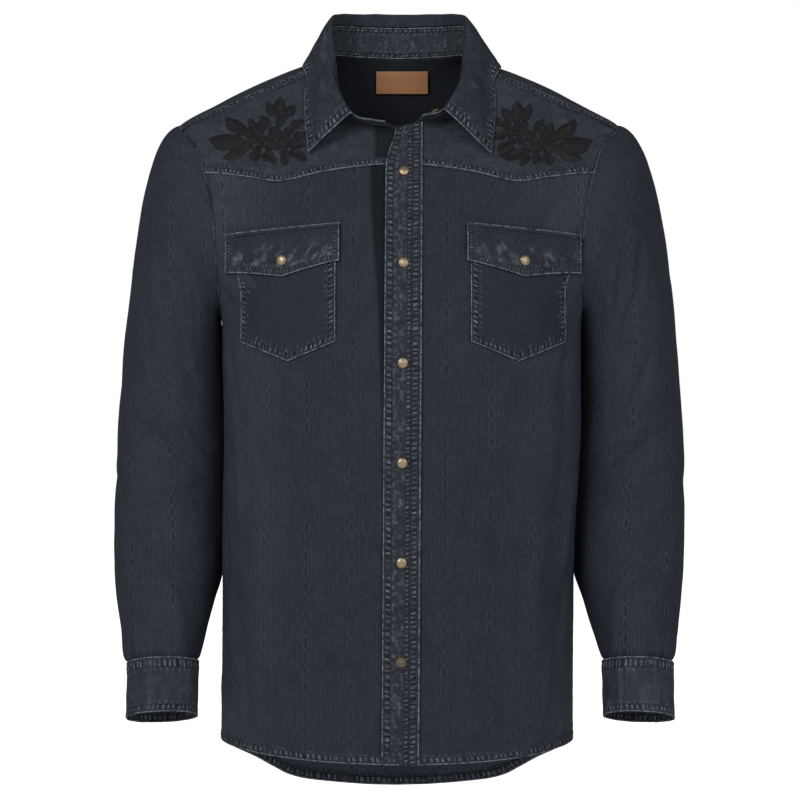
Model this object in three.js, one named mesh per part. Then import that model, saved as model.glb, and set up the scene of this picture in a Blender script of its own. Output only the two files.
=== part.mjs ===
// A man's long-sleeved western shirt, filled out as it is worn, with nothing inside it.
// Millimetres, +Z up, +X towards the wearer's left, the front faces -Y. The origin is the middle
// of the neck, level with the tops of the shoulders, where the wearer carries the shirt.
import * as THREE from "three";

// ---- Driving sizes ----------------------------------------------------------------------------

const CLOTH = 1.2; // wall of the body, yokes and sleeves
const FOLDED = 1.6; // wall of a doubled piece: collar, cuff, placket, flap
const SEAM = 0.36; // gap between two pieces along a seam
const LAYER = 0.7; // gap between a piece and the panel that it lies on

const UNDERARM_Z = -278;
const SHOULDER_Z = -77;
const SIDE_HEM_Z = -748;
const HEM_BAND = 13; // height of the turned hem
const HEM_PROUD = 0.7; // how far the turned hem stands out

const PLACKET_WIDTH = 40;
const PLACKET_CENTRE_X = 3.4; // at PLACKET_MID_Z; the front edge leans a little
const PLACKET_MID_Z = -450;
const PLACKET_LEAN = 0.0065;
const JOINT_FROM_CENTRE = 11; // where the two fronts' walls meet, under the placket

// Horizontal sections of the body: x of the middle, half-width, reach to the front and to the back, and the power
// of the rounded outline (2 is an ellipse, more is squarer).
const BODY_SECTIONS = [
  { z: -830, middle: -2.6, half: 193.6, front: 143, back: 125, power: 2.3 },
  { z: -748, middle: -2.2, half: 192.6, front: 141, back: 122, power: 2.3 },
  { z: -620, middle: -1.2, half: 192.2, front: 138, back: 114, power: 2.3 },
  { z: -520, middle: -0.4, half: 193, front: 138, back: 109, power: 2.3 },
  { z: -420, middle: 3.8, half: 195.2, front: 140, back: 111, power: 2.3 },
  { z: -340, middle: 3, half: 196, front: 140, back: 118, power: 2.3 },
  { z: -278, middle: 2.6, half: 199.5, front: 135, back: 122, power: 2.25 },
  { z: -230, middle: 0, half: 224, front: 126, back: 123, power: 2.2 },
  { z: -180, middle: 0, half: 244, front: 110, back: 120, power: 2.2 },
  { z: -130, middle: 0, half: 252, front: 87, back: 112, power: 2.15 },
  { z: -100, middle: 0, half: 250, front: 68, back: 103, power: 2.1 },
  { z: -77, middle: 0, half: 241, front: 56, back: 94, power: 2.1 },
  { z: -56, middle: 0, half: 204, front: 48.5, back: 85, power: 2.05 },
  { z: -36, middle: 0, half: 165, front: 41, back: 75, power: 2.05 },
  { z: -20, middle: 0, half: 128, front: 35, back: 65, power: 2 },
  { z: -8, middle: 0, half: 95, front: 30, back: 56, power: 2 },
  { z: 0, middle: 0, half: 72, front: 26, back: 50, power: 2 },
  { z: 10, middle: 0, half: 52, front: 20, back: 42, power: 2 },
];

// Broad folds of the body. at is the angle round the body in degrees from the centre front,
// towards the wearer's left; wide is in degrees, tall in mm. A negative depth is a trough.
const BODY_FOLDS = [
  { at: 52, z: -560, wide: 9, tall: 190, depth: 3.4, slope: 0.012 },
  { at: 68, z: -600, wide: 8, tall: 170, depth: -3.6, slope: 0.016 },
  { at: -58, z: -590, wide: 9, tall: 180, depth: 3.2, slope: -0.014 },
  { at: -72, z: -560, wide: 8, tall: 150, depth: -3.2, slope: -0.01 },
  { at: 118, z: -560, wide: 10, tall: 190, depth: 4.2, slope: 0.01 },
  { at: 146, z: -620, wide: 11, tall: 170, depth: -4.4, slope: -0.01 },
  { at: 176, z: -640, wide: 10, tall: 180, depth: 4.2, slope: 0.012 },
  { at: -150, z: -600, wide: 10, tall: 180, depth: -4.2, slope: 0.01 },
  { at: -120, z: -580, wide: 10, tall: 190, depth: 4.0, slope: -0.01 },
];

// The seam of the armhole, an egg seen from the side: its middle, half-height and reach.
const ARMHOLE = { z: (SHOULDER_Z + UNDERARM_Z) / 2, tall: (SHOULDER_Z - UNDERARM_Z) / 2 };
ARMHOLE.reach = 67;
ARMHOLE.egg = 0.3; // how much wider it is low down
const ARMHOLE_FRONT_YOKE = 117; // degrees round from the underarm, over the front
const ARMHOLE_SHOULDER = 167;
const ARMHOLE_BACK_YOKE = 248;
const ARMHOLE_STEPS = { front: 8, frontYoke: 4, backYoke: 6, back: 8 };

// Seams of the right-hand half, seen from the front: x from the centre and z.
const FRONT_YOKE_SEAM = [
  { x: -40, z: -124 },
  { x: 0, z: -124 },
  { x: 35, z: -125 },
  { x: 80, z: -131 },
  { x: 122, z: -141 },
  { x: 160, z: -136 },
  { x: 200, z: -131 },
  { x: 240, z: -130 },
];
const BACK_YOKE_SEAM = [
  { x: 0, z: -162 },
  { x: 50, z: -152 },
  { x: 110, z: -143 },
  { x: 170, z: -140 },
  { x: 240, z: -140 },
];
// The neck's seam: degrees round from the centre front, and z on the wearer's left and right.
const NECK_SEAM = [
  { at: 0, left: -83.5, right: -83.5 },
  { at: 7, left: -79.3, right: -81.8 },
  { at: 15, left: -76.4, right: -80.8 },
  { at: 25, left: -73.9, right: -79.4 },
  { at: 35, left: -72, right: -77 },
  { at: 45, left: -66, right: -69 },
  { at: 52, left: -57, right: -58 },
  { at: 60, left: -40, right: -40 },
  { at: 70, left: -19, right: -19 },
  { at: 78, left: -7, right: -7 },
  { at: 92, left: 0, right: 0 },
  { at: 130, left: 1, right: 1 },
  { at: 180, left: 0, right: 0 },
];
const NECK_CORNER = 78; // where the shoulder's seam meets the neck

// The hem, seen from the front: share of the way from the centre to the side seam, and z.
const FRONT_HEM = [
  { share: 0, z: -768 },
  { share: 0.3, z: -766 },
  { share: 0.52, z: -762 },
  { share: 0.74, z: -755 },
  { share: 1, z: SIDE_HEM_Z },
];
const BACK_HEM = [
  { share: 0, z: -813 },
  { share: 0.2, z: -811.5 },
  { share: 0.45, z: -805.5 },
  { share: 0.55, z: -799 },
  { share: 0.62, z: -789 },
  { share: 0.7, z: -777 },
  { share: 0.8, z: -766 },
  { share: 1, z: SIDE_HEM_Z },
];

// Rings of a sleeve from the armhole to the cuff: the outer and the inner point seen from the
// front, half the depth, the middle's y, the forward tilt in degrees, and how much of the
// armhole's own outline is left in the ring. left: the wearer's left sleeve hangs further out.
const SLEEVE_RINGS = [
  { outX: 241, outZ: -77, inX: 205, inZ: -278, deep: 74, y: 0, tilt: 0, seam: 1, left: 0 },
  { outX: 253.5, outZ: -92, inX: 200.2, inZ: -281, deep: 74, y: 4, tilt: 0, seam: 0.82, left: 0.5 },
  { outX: 264.3, outZ: -111, inX: 199.6, inZ: -287, deep: 73.5, y: 10, tilt: 0, seam: 0.55,
    left: 1.5 },
  { outX: 274.1, outZ: -134, inX: 198.6, inZ: -295, deep: 73, y: 18, tilt: 0, seam: 0.3, left: 3 },
  { outX: 282.9, outZ: -164, inX: 196.2, inZ: -309, deep: 72, y: 27, tilt: 0, seam: 0.12, left: 4 },
  { outX: 290.7, outZ: -204, inX: 194, inZ: -329, deep: 71, y: 34, tilt: 0, seam: 0, left: 4.5 },
  { outX: 297.4, outZ: -250, inX: 192.4, inZ: -357, deep: 69, y: 38, tilt: 0, seam: 0, left: 4.5 },
  { outX: 303.5, outZ: -305, inX: 191.8, inZ: -392, deep: 67, y: 40, tilt: 0, seam: 0, left: 4 },
  { outX: 308, outZ: -362, inX: 191.4, inZ: -428, deep: 66, y: 40, tilt: 0, seam: 0, left: 3.5 },
  { outX: 311.5, outZ: -417, inX: 190.8, inZ: -462, deep: 64, y: 39, tilt: 2, seam: 0, left: 3.5 },
  { outX: 314.1, outZ: -468, inX: 190.2, inZ: -497, deep: 62, y: 36, tilt: 5, seam: 0, left: 2.5 },
  { outX: 315.1, outZ: -517, inX: 190.8, inZ: -532, deep: 60, y: 30, tilt: 8, seam: 0, left: 1 },
  { outX: 313.9, outZ: -560, inX: 193.5, inZ: -567, deep: 57, y: 17, tilt: 11, seam: 0, left: 0 },
  { outX: 310.4, outZ: -595, inX: 202.5, inZ: -597, deep: 53, y: -2, tilt: 13, seam: 0, left: 0 },
  { outX: 304.4, outZ: -631, inX: 210.8, inZ: -630, deep: 47.5, y: -19.2, tilt: 13, seam: 0,
    left: 1.5 },
  { outX: 298.9, outZ: -657.8, inX: 217.1, inZ: -655.8, deep: 40.4, y: -29.4, tilt: 13, seam: 0,
    left: 2.5 },
  { outX: 294.5, outZ: -663.7, inX: 220.3, inZ: -661.7, deep: 36.8, y: -30.6, tilt: 13, seam: 0,
    left: 3 },
  { outX: 294.4, outZ: -672.5, inX: 220.6, inZ: -670.5, deep: 36.4, y: -32.4, tilt: 13, seam: 0,
    left: 3 },
];

// Broad folds of a sleeve: at is degrees round from the inner line over the front, ring the
// place along it. A negative depth is a trough.
const SLEEVE_FOLDS = [
  { at: 62, ring: 9.6, wide: 40, tall: 0.75, depth: -4.6 },
  { at: 40, ring: 8.2, wide: 30, tall: 0.8, depth: 3 },
  { at: 70, ring: 11.3, wide: 36, tall: 0.8, depth: 3.2 },
  { at: 300, ring: 10.4, wide: 34, tall: 0.9, depth: -3 },
  { at: 118, ring: 3.6, wide: 16, tall: 1.7, depth: 2.6 },
  { at: 88, ring: 3.8, wide: 14, tall: 1.8, depth: -3 },
  { at: 262, ring: 4.2, wide: 18, tall: 1.8, depth: -3.2 },
];

// The cuff: a band wrapped round the wrist, its end lapped over its start on the outer back.
const CUFF = {
  topOutX: 296.8, topOutZ: -665.5, topInX: 218.2, topInZ: -663.5, topY: -30.8, deep: 39,
  endOutX: 297.2, endOutZ: -725, endInX: 219.2, endInZ: -722, endY: -44.8, left: 3,
};
CUFF.tilt = 13;
CUFF.start = 205; // degrees round from the inner line, over the front
CUFF.lap = 36; // degrees of overlap
CUFF.steps = 30;

// Slit binding on the back of the forearm, in degrees round and rings.
const SLEEVE_SLIT = { from: 210, to: 236, top: 11.4, foot: 14.8 };

// The collar stand: degrees round from the centre front, its outward tilt and its height.
const STAND = [
  { at: 10, tilt: 83, high: 25 },
  { at: 26, tilt: 83, high: 26 },
  { at: 38, tilt: 80, high: 27 },
  { at: 44, tilt: 62, high: 28 },
  { at: 50, tilt: 36, high: 30 },
  { at: 60, tilt: 4, high: 31 },
  { at: 90, tilt: -5, high: 32 },
  { at: 130, tilt: -2, high: 33 },
  { at: 180, tilt: 0, high: 34 },
];
const STAND_ENDS = { left: 22, right: 347 }; // degrees, the open ends of the stand
const STAND_GAP = 1.3;

// The leaf of the collar, from its front edge to the centre back: degrees round at the stand,
// how far it rolls up and out, then the place of its outer edge on the body and its lift.
const LEAF = [
  { at: 38, rise: 3, reach: 2, edge: 54.3, edgeZ: -114.4, lift: 4.5 },
  { at: 50, rise: 5, reach: 3.5, edge: 62.6, edgeZ: -82.4, lift: 3.5 },
  { at: 62, rise: 8, reach: 3, edge: 69.7, edgeZ: -49.2, lift: 2.8 },
  { at: 76, rise: 10, reach: 1.6, edge: 76.5, edgeZ: -26, lift: 3.1 },
  { at: 95, rise: 10.5, reach: 1.4, edge: 91, edgeZ: -12, lift: 3 },
  { at: 120, rise: 11.5, reach: 4, edge: 117, edgeZ: -9, lift: 3.5 },
  { at: 150, rise: 12, reach: 5, edge: 150, edgeZ: -7, lift: 5 },
  { at: 180, rise: 12, reach: 5, edge: 180, edgeZ: -6, lift: 5 },
];
const LEAF_ROWS = 8;
const LEAF_RIGHT = 2.6; // how much higher the wearer's right leaf lies over the shoulder

const POCKET = {
  innerX: 68, // from the placket's centre
  topZ: -189, // at the inner end of the flap
  slope: -0.085, // the flap falls towards the side
  flapWidth: 122, flapSide: 41, flapPoint: 52,
  bagInset: 4, bagTop: -36, bagSide: -127, bagPoint: -148, bagTaper: 12,
};

const SNAP = { radius: 6, dome: 3.4, rim: 1.1 };
const SNAP_Z = [-133, -232, -339, -445.5, -552, -658]; // the last one has an open ring
const LABEL = { width: 58, height: 23.5, top: -11, thick: 1.2 };

// ---- Looks ------------------------------------------------------------------------------------

const cloth = (name, hex, roughness) =>
  new THREE.MeshStandardMaterial({ name, color: hex, roughness, metalness: 0 });
const STRIPED = cloth("striped_cloth", 0x2d3139, 0.92);
const PLAIN = cloth("plain_cloth", 0x31353d, 0.92);
const LEATHER = cloth("label_leather", 0x9e6e49, 0.7);
const BRASS = new THREE.MeshStandardMaterial({
  name: "snap_brass", color: 0x8f7a4e, roughness: 0.32, metalness: 1,
});
const COPPER = new THREE.MeshStandardMaterial({
  name: "snap_copper", color: 0x6b5244, roughness: 0.38, metalness: 1,
});

// ---- Small helpers ----------------------------------------------------------------------------

const radians = THREE.MathUtils.degToRad;
const lerp = THREE.MathUtils.lerp;
const vec = (x, y, z) => new THREE.Vector3(x, y, z);

// A smooth curve through the rows of a table: the value of column key where column by is at.
function along(rows, by, key, at) {
  const up = rows[rows.length - 1][by] > rows[0][by];
  const list = up ? rows : [...rows].reverse();
  const last = list.length - 1;
  let i = 0;
  while (i < last - 1 && list[i + 1][by] < at) i += 1;
  const span = list[i + 1][by] - list[i][by];
  const t = THREE.MathUtils.clamp((at - list[i][by]) / span, 0, 1);
  const slope = (k) => {
    const a = list[Math.max(k - 1, 0)];
    const b = list[Math.min(k + 1, last)];
    return (b[key] - a[key]) / (b[by] - a[by]);
  };
  const [p, q, t2, t3] = [list[i][key], list[i + 1][key], t * t, t * t * t];
  return (
    (2 * t3 - 3 * t2 + 1) * p + (t3 - 2 * t2 + t) * span * slope(i) +
    (3 * t2 - 2 * t3) * q + (t3 - t2) * span * slope(i + 1)
  );
}

// The same, with the row's number as the place.
const numbered = (rows) => rows.map((row, row_number) => ({ ...row, row_number }));
const atRow = (rows, key, place) => along(rows, "row_number", key, place);

// A bump that falls off on both sides of its middle.
const bump = (distance, width) => Math.exp(-((distance / width) ** 2));

// ---- The body's surface -----------------------------------------------------------------------

// A point of the body's outer surface. angle is round from the centre front, in radians.
function bodyPoint(angle, z) {
  const half = along(BODY_SECTIONS, "z", "half", z);
  const power = along(BODY_SECTIONS, "z", "power", z);
  const reach = along(BODY_SECTIONS, "z", Math.cos(angle) > 0 ? "front" : "back", z);
  const across = Math.abs(Math.sin(angle)) / half;
  const deep = Math.abs(Math.cos(angle)) / reach;
  const degrees = THREE.MathUtils.radToDeg(angle);
  const fold = BODY_FOLDS.reduce((sum, f) => {
    const turn = ((degrees - f.at - f.slope * (z - f.z) + 540) % 360) - 180;
    return sum + f.depth * bump(turn, f.wide) * bump(z - f.z, f.tall);
  }, 0);
  const radius = (across ** power + deep ** power) ** (-1 / power) + fold;
  const middle = along(BODY_SECTIONS, "z", "middle", z);
  return vec(middle + radius * Math.sin(angle), -radius * Math.cos(angle), z);
}

function normalOf(surface, u, v, du, dv) {
  const a = surface(u + du, v).sub(surface(u - du, v));
  const b = surface(u, v + dv).sub(surface(u, v - dv));
  return a.cross(b).normalize();
}
const bodyNormal = (angle, z) => normalOf(bodyPoint, angle, z, 0.004, 0.5);

// The angle round the body of a point seen from the front (or back) at x and z.
function angleAt(x, z, back = false) {
  const half = along(BODY_SECTIONS, "z", "half", z);
  const power = along(BODY_SECTIONS, "z", "power", z);
  const reach = along(BODY_SECTIONS, "z", back ? "back" : "front", z);
  const off = x - along(BODY_SECTIONS, "z", "middle", z);
  const share = Math.min(Math.abs(off) / half, 1);
  const deep = reach * (1 - share ** power) ** (1 / power);
  return Math.atan2(off, back ? -deep : deep);
}

// Places on the body are [angle, z] pairs. side is +1 for the wearer's left, -1 for the right.
const onFront = (x, z) => [angleAt(x, z), z];
const placketCentre = (z) => PLACKET_CENTRE_X + PLACKET_LEAN * (z - PLACKET_MID_Z);
const jointX = (z) => placketCentre(z) + JOINT_FROM_CENTRE;

// The armhole's seam at degrees round from the underarm, first over the front.
function armhole(degrees, side) {
  const turn = radians(degrees);
  const y = -ARMHOLE.reach * Math.sin(turn) * (1 + ARMHOLE.egg * Math.cos(turn));
  const z = ARMHOLE.z - ARMHOLE.tall * Math.cos(turn);
  const half = along(BODY_SECTIONS, "z", "half", z);
  const power = along(BODY_SECTIONS, "z", "power", z);
  const reach = along(BODY_SECTIONS, "z", y < 0 ? "front" : "back", z);
  const x = half * (1 - (Math.abs(y) / reach) ** power) ** (1 / power);
  return [side * Math.atan2(x, -y), z];
}

const mix = (a, b, t) => [lerp(a[0], b[0], t), lerp(a[1], b[1], t)];

// The neck's seam at degrees round from the centre front, up to 360.
function neck(degrees) {
  const turn = degrees > 180 ? degrees - 360 : degrees;
  return [radians(turn), along(NECK_SEAM, "at", turn < 0 ? "right" : "left", Math.abs(turn))];
}

// The shoulder's seam from the neck to the armhole, a little in front of the shoulder's ridge.
const shoulderSeam = (t, side) => mix(neck(side * NECK_CORNER), armhole(ARMHOLE_SHOULDER, side), t);

// A patch between four edges, each a function of a share giving a point, settled on the body.
function patch(columns, rows, bottom, top, left, right) {
  return spread(columns, rows, (s, t) => {
    const p = bottom(s).multiplyScalar(1 - t).addScaledVector(top(s), t);
    p.addScaledVector(left(t), 1 - s).addScaledVector(right(t), s);
    p.addScaledVector(bottom(0), -(1 - s) * (1 - t)).addScaledVector(bottom(1), -s * (1 - t));
    p.addScaledVector(top(0), -(1 - s) * t).addScaledVector(top(1), -s * t);
    const rim = s === 0 || s === 1 || t === 0 || t === 1;
    return rim ? placeOf(p) : settled(p);
  });
}
const placeOf = (p) => [Math.atan2(p.x, -p.y), p.z];

// The place on the body of a point near it, found along a line from inside the shoulders.
function settled(point) {
  const core = vec(point.x * 0.85, 0, -170);
  const inside = (p) => {
    const half = along(BODY_SECTIONS, "z", "half", p.z);
    const power = along(BODY_SECTIONS, "z", "power", p.z);
    const reach = along(BODY_SECTIONS, "z", p.y < 0 ? "front" : "back", p.z);
    return (Math.abs(p.x) / half) ** power + (Math.abs(p.y) / reach) ** power < 1;
  };
  let [near, far] = [0, 1.5];
  for (let i = 0; i < 40; i += 1) {
    const middle = (near + far) / 2;
    if (inside(core.clone().lerp(point, middle))) near = middle;
    else far = middle;
  }
  return placeOf(core.lerp(point, near));
}

// ---- Solids from grids ------------------------------------------------------------------------

// A closed mesh from two grids of points, the outer and the inner face, joined round the rim.
// A wrapped grid closes on itself across its columns, so it makes a tube.
function solid(name, outer, inner, material, wrapped = false) {
  const rows = outer.length;
  const columns = outer[0].length;
  const positions = [...outer.flat(), ...inner.flat()].flatMap((p) => [p.x, p.y, p.z]);
  const at = (r, c, face) => face * rows * columns + r * columns + (c % columns);
  const index = [];
  const quad = (a, b, c, d) => index.push(a, b, c, a, c, d);
  const spans = wrapped ? columns : columns - 1;
  for (let r = 0; r < rows - 1; r += 1) {
    for (let c = 0; c < spans; c += 1) {
      quad(at(r, c, 0), at(r, c + 1, 0), at(r + 1, c + 1, 0), at(r + 1, c, 0));
      quad(at(r, c, 1), at(r + 1, c, 1), at(r + 1, c + 1, 1), at(r, c + 1, 1));
    }
  }
  for (let c = 0; c < spans; c += 1) {
    quad(at(0, c, 1), at(0, c + 1, 1), at(0, c + 1, 0), at(0, c, 0));
    quad(at(rows - 1, c, 0), at(rows - 1, c + 1, 0), at(rows - 1, c + 1, 1), at(rows - 1, c, 1));
  }
  for (let r = 0; r < rows - 1 && !wrapped; r += 1) {
    quad(at(r, 0, 0), at(r + 1, 0, 0), at(r + 1, 0, 1), at(r, 0, 1));
    quad(at(r, columns - 1, 1), at(r + 1, columns - 1, 1), at(r + 1, columns - 1, 0),
      at(r, columns - 1, 0));
  }
  const geometry = new THREE.BufferGeometry();
  geometry.setAttribute("position", new THREE.Float32BufferAttribute(positions, 3));
  geometry.setIndex(index);
  const mesh = new THREE.Mesh(geometry, material);
  mesh.name = name;
  return facingOut(mesh);
}

// Turns the faces round if they point inwards.
function facingOut(mesh) {
  const { index, attributes } = mesh.geometry;
  const [a, b, c] = [vec(0, 0, 0), vec(0, 0, 0), vec(0, 0, 0)];
  let volume = 0;
  for (let i = 0; i < index.count; i += 3) {
    [a, b, c].forEach((p, k) => p.fromBufferAttribute(attributes.position, index.getX(i + k)));
    volume += a.dot(b.cross(c));
  }
  if (volume < 0) {
    for (let i = 0; i < index.count; i += 3) {
      const first = index.getX(i);
      index.setX(i, index.getX(i + 1));
      index.setX(i + 1, first);
    }
  }
  mesh.geometry.computeVertexNormals();
  return mesh;
}

// Moves the outermost points of a grid in by half a seam, so that neighbours stay apart.
function trimmed(grid, wrapped = false) {
  const rows = grid.length - 1;
  const columns = grid[0].length - 1;
  const pull = (p, towards) => {
    const step = towards.clone().sub(p);
    return p.clone().addScaledVector(step.normalize(), SEAM / 2);
  };
  return grid.map((row, r) =>
    row.map((p, c) => {
      let q = p;
      if (r === 0) q = pull(q, grid[1][c]);
      if (r === rows) q = pull(q, grid[rows - 1][c]);
      if (!wrapped && c === 0) q = pull(q, grid[r][1]);
      if (!wrapped && c === columns) q = pull(q, grid[r][columns - 1]);
      return q;
    }),
  );
}

const moved = (grid, normals, far) =>
  grid.map((row, r) => row.map((p, c) => p.clone().addScaledVector(normals[r][c], far(r, c))));

// A grid of steps x steps values of place(s, t), s across and t up, each from 0 to 1.
const spread = (stepsAcross, stepsUp, place) =>
  Array.from({ length: stepsUp + 1 }, (_, r) =>
    Array.from({ length: stepsAcross + 1 }, (__, c) => place(c / stepsAcross, r / stepsUp)),
  );

// A piece of the body wall: places is a grid of [angle, z]. Its outer face is the body's
// surface, moved out by proud(row, column).
function bodyPanel(name, places, material, proud = () => 0) {
  const grid = trimmed(places.map((row) => row.map(([angle, z]) => bodyPoint(angle, z))));
  const normals = places.map((row) => row.map(([angle, z]) => bodyNormal(angle, z)));
  const outer = moved(grid, normals, proud);
  return solid(name, outer, moved(grid, normals, () => -CLOTH), material);
}

// A piece that lies on the body: its inner face is lift(row, column) out from the body's surface.
function overlay(name, places, material, lift, thick) {
  const grid = places.map((row) => row.map(([angle, z]) => bodyPoint(angle, z)));
  const normals = places.map((row) => row.map(([angle, z]) => bodyNormal(angle, z)));
  const inner = moved(grid, normals, lift);
  return solid(name, moved(inner, normals, () => thick), inner, material);
}

// ---- Body panels ------------------------------------------------------------------------------

// Shares of the way up a body panel's side: the hem's turn, the side seam, then the armhole.
const SIDE_SEAM_STEPS = 11;
function sideStations(top, stepsAbove, yokeDegrees) {
  const stations = [];
  stations.push({ z: SIDE_HEM_Z, hem: true });
  stations.push({ z: SIDE_HEM_Z + HEM_BAND, hem: true });
  stations.push({ z: SIDE_HEM_Z + HEM_BAND + 1.5, hem: false });
  const first = SIDE_HEM_Z + HEM_BAND;
  for (let i = 1; i <= SIDE_SEAM_STEPS; i += 1) {
    stations.push({ z: lerp(first, UNDERARM_Z, i / SIDE_SEAM_STEPS), hem: false });
  }
  for (let i = 1; i <= stepsAbove; i += 1) {
    const degrees = (yokeDegrees * i) / stepsAbove;
    stations.push({ z: armhole(degrees, 1)[1], degrees, hem: false });
  }
  return stations.map((s) => ({ ...s, share: (s.z - SIDE_HEM_Z) / (top - SIDE_HEM_Z) }));
}

const FRONT_COLUMNS = 10;
function front(side) {
  const stations = sideStations(
    armhole(ARMHOLE_FRONT_YOKE, 1)[1], ARMHOLE_STEPS.front, ARMHOLE_FRONT_YOKE);
  const places = stations.map(({ z, degrees, share }) => {
    const edge = degrees === undefined ? [side * (Math.PI / 2), z] : armhole(degrees, side);
    return Array.from({ length: FRONT_COLUMNS + 1 }, (_, c) => {
      const s = c / FRONT_COLUMNS;
      const foot = along(FRONT_HEM, "share", "z", s);
      const top = yokeSeamZ(s, side);
      const height = share < HEM_BAND / 400 && share > 0
        ? foot + (z - SIDE_HEM_Z) : lerp(foot, top, share);
      const start = angleAt(jointX(height), height);
      return [lerp(start, edge[0], s), height];
    });
  });
  const proud = (r) => (stations[r].hem ? HEM_PROUD : 0);
  return bodyPanel(side > 0 ? "front_left" : "front_right", places, STRIPED, proud);
}

// The front yoke's seam: share 0 is under the placket and 1 is at the armhole.
function yokeSeamX(s, side) {
  const inner = angleAt(jointX(-124), -124);
  const [outer] = armhole(ARMHOLE_FRONT_YOKE, side);
  return side * bodyPoint(lerp(inner, outer, s), -132).x;
}
function yokeSeamZ(s, side) {
  const end = armhole(ARMHOLE_FRONT_YOKE, side)[1];
  const z = along(FRONT_YOKE_SEAM, "x", "z", yokeSeamX(s, side));
  const outer = along(FRONT_YOKE_SEAM, "x", "z", yokeSeamX(1, side));
  return z + (end - outer) * s;
}
// The angle of the same seam, as the front panel's top row has it.
function yokeSeam(s, side) {
  const z = yokeSeamZ(s, side);
  const [outerAngle] = armhole(ARMHOLE_FRONT_YOKE, side);
  return [lerp(angleAt(jointX(z), z), outerAngle, s), z];
}

const YOKE_EDGE_STEPS = 2; // rows below the neck's seam
function frontYoke(side) {
  const rows = ARMHOLE_STEPS.frontYoke * 2;
  const neckAngle = THREE.MathUtils.radToDeg(angleAt(jointX(-86), -86));
  const neckZ = neck(neckAngle)[1];
  const inner = (t) => {
    const step = Math.round(t * rows);
    const seamZ = yokeSeamZ(0, side);
    if (step < YOKE_EDGE_STEPS) {
      const z = lerp(seamZ, neckZ, step / YOKE_EDGE_STEPS);
      return bodyPoint(angleAt(jointX(z), z), z);
    }
    const share = (step - YOKE_EDGE_STEPS) / (rows - YOKE_EDGE_STEPS);
    return bodyPoint(...neck(lerp(neckAngle, side * NECK_CORNER, share)));
  };
  const arm = (t) => bodyPoint(...armhole(lerp(ARMHOLE_FRONT_YOKE, ARMHOLE_SHOULDER, t), side));
  const places = patch(FRONT_COLUMNS, rows,
    (s) => bodyPoint(...yokeSeam(s, side)), (s) => bodyPoint(...shoulderSeam(s, side)), inner, arm);
  return bodyPanel(side > 0 ? "yoke_front_left" : "yoke_front_right", places, PLAIN);
}

// ---- Back -------------------------------------------------------------------------------------

const BACK_COLUMNS = 16;
const YOKE_SHOULDER_STEPS = 6;
const YOKE_NECK_STEPS = 10;

// The seam under the back yoke, from the wearer's left armhole to the right one.
function backYokeSeam(s) {
  const [, endZ] = armhole(ARMHOLE_BACK_YOKE, 1);
  const endX = bodyPoint(...armhole(ARMHOLE_BACK_YOKE, 1)).x;
  const x = lerp(endX, -endX, s);
  const drop = endZ - along(BACK_YOKE_SEAM, "x", "z", endX);
  const z = along(BACK_YOKE_SEAM, "x", "z", Math.abs(x)) + drop * (Math.abs(x) / endX);
  if (s === 0 || s === 1) return onBack(Math.sign(x) * endX, endZ);
  return onBack(x, z);
}
const onBack = (x, z) => {
  const angle = angleAt(x, z, true);
  return [angle < 0 ? angle + 2 * Math.PI : angle, z];
};

function back() {
  const stations = sideStations(
    armhole(ARMHOLE_BACK_YOKE, 1)[1], ARMHOLE_STEPS.back, ARMHOLE_BACK_YOKE - 360);
  const places = stations.map(({ z, degrees, share }) =>
    Array.from({ length: BACK_COLUMNS + 1 }, (_, c) => {
      const s = c / BACK_COLUMNS;
      const out = Math.abs(1 - 2 * s);
      const foot = along(BACK_HEM, "share", "z", out);
      const top = backYokeSeam(s);
      const height = share < HEM_BAND / 400 && share > 0
        ? foot + (z - SIDE_HEM_Z) : lerp(foot, top[1], share);
      const edge = degrees === undefined ? Math.PI / 2 : armhole(degrees, 1)[0];
      const even = lerp(edge, 2 * Math.PI - edge, s);
      const shift = top[0] - lerp(backYokeSeam(0)[0], backYokeSeam(1)[0], s);
      return [even + shift * share ** 2, height];
    }),
  );
  return bodyPanel("back", places, STRIPED, (r) => (stations[r].hem ? HEM_PROUD : 0));
}

function backYoke() {
  const columns = 2 * YOKE_SHOULDER_STEPS + YOKE_NECK_STEPS;
  const top = (s) => {
    const step = Math.round(s * columns);
    if (step <= YOKE_SHOULDER_STEPS) {
      return bodyPoint(...shoulderSeam(1 - step / YOKE_SHOULDER_STEPS, 1));
    }
    const fromRight = columns - step;
    if (fromRight <= YOKE_SHOULDER_STEPS) {
      return bodyPoint(...shoulderSeam(1 - fromRight / YOKE_SHOULDER_STEPS, -1));
    }
    const share = (step - YOKE_SHOULDER_STEPS) / YOKE_NECK_STEPS;
    return bodyPoint(...neck(lerp(NECK_CORNER, 360 - NECK_CORNER, share)));
  };
  const bottom = (s) => bodyPoint(...backYokeSeam(s));
  const arm = (side) => (t) =>
    bodyPoint(...armhole(lerp(ARMHOLE_BACK_YOKE, ARMHOLE_SHOULDER, t), side));
  const places = patch(columns, ARMHOLE_STEPS.backYoke, bottom, top, arm(1), arm(-1));
  return bodyPanel("yoke_back", places, PLAIN);
}

// ---- Sleeves and cuffs ------------------------------------------------------------------------

const RINGS = numbered(SLEEVE_RINGS);

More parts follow.
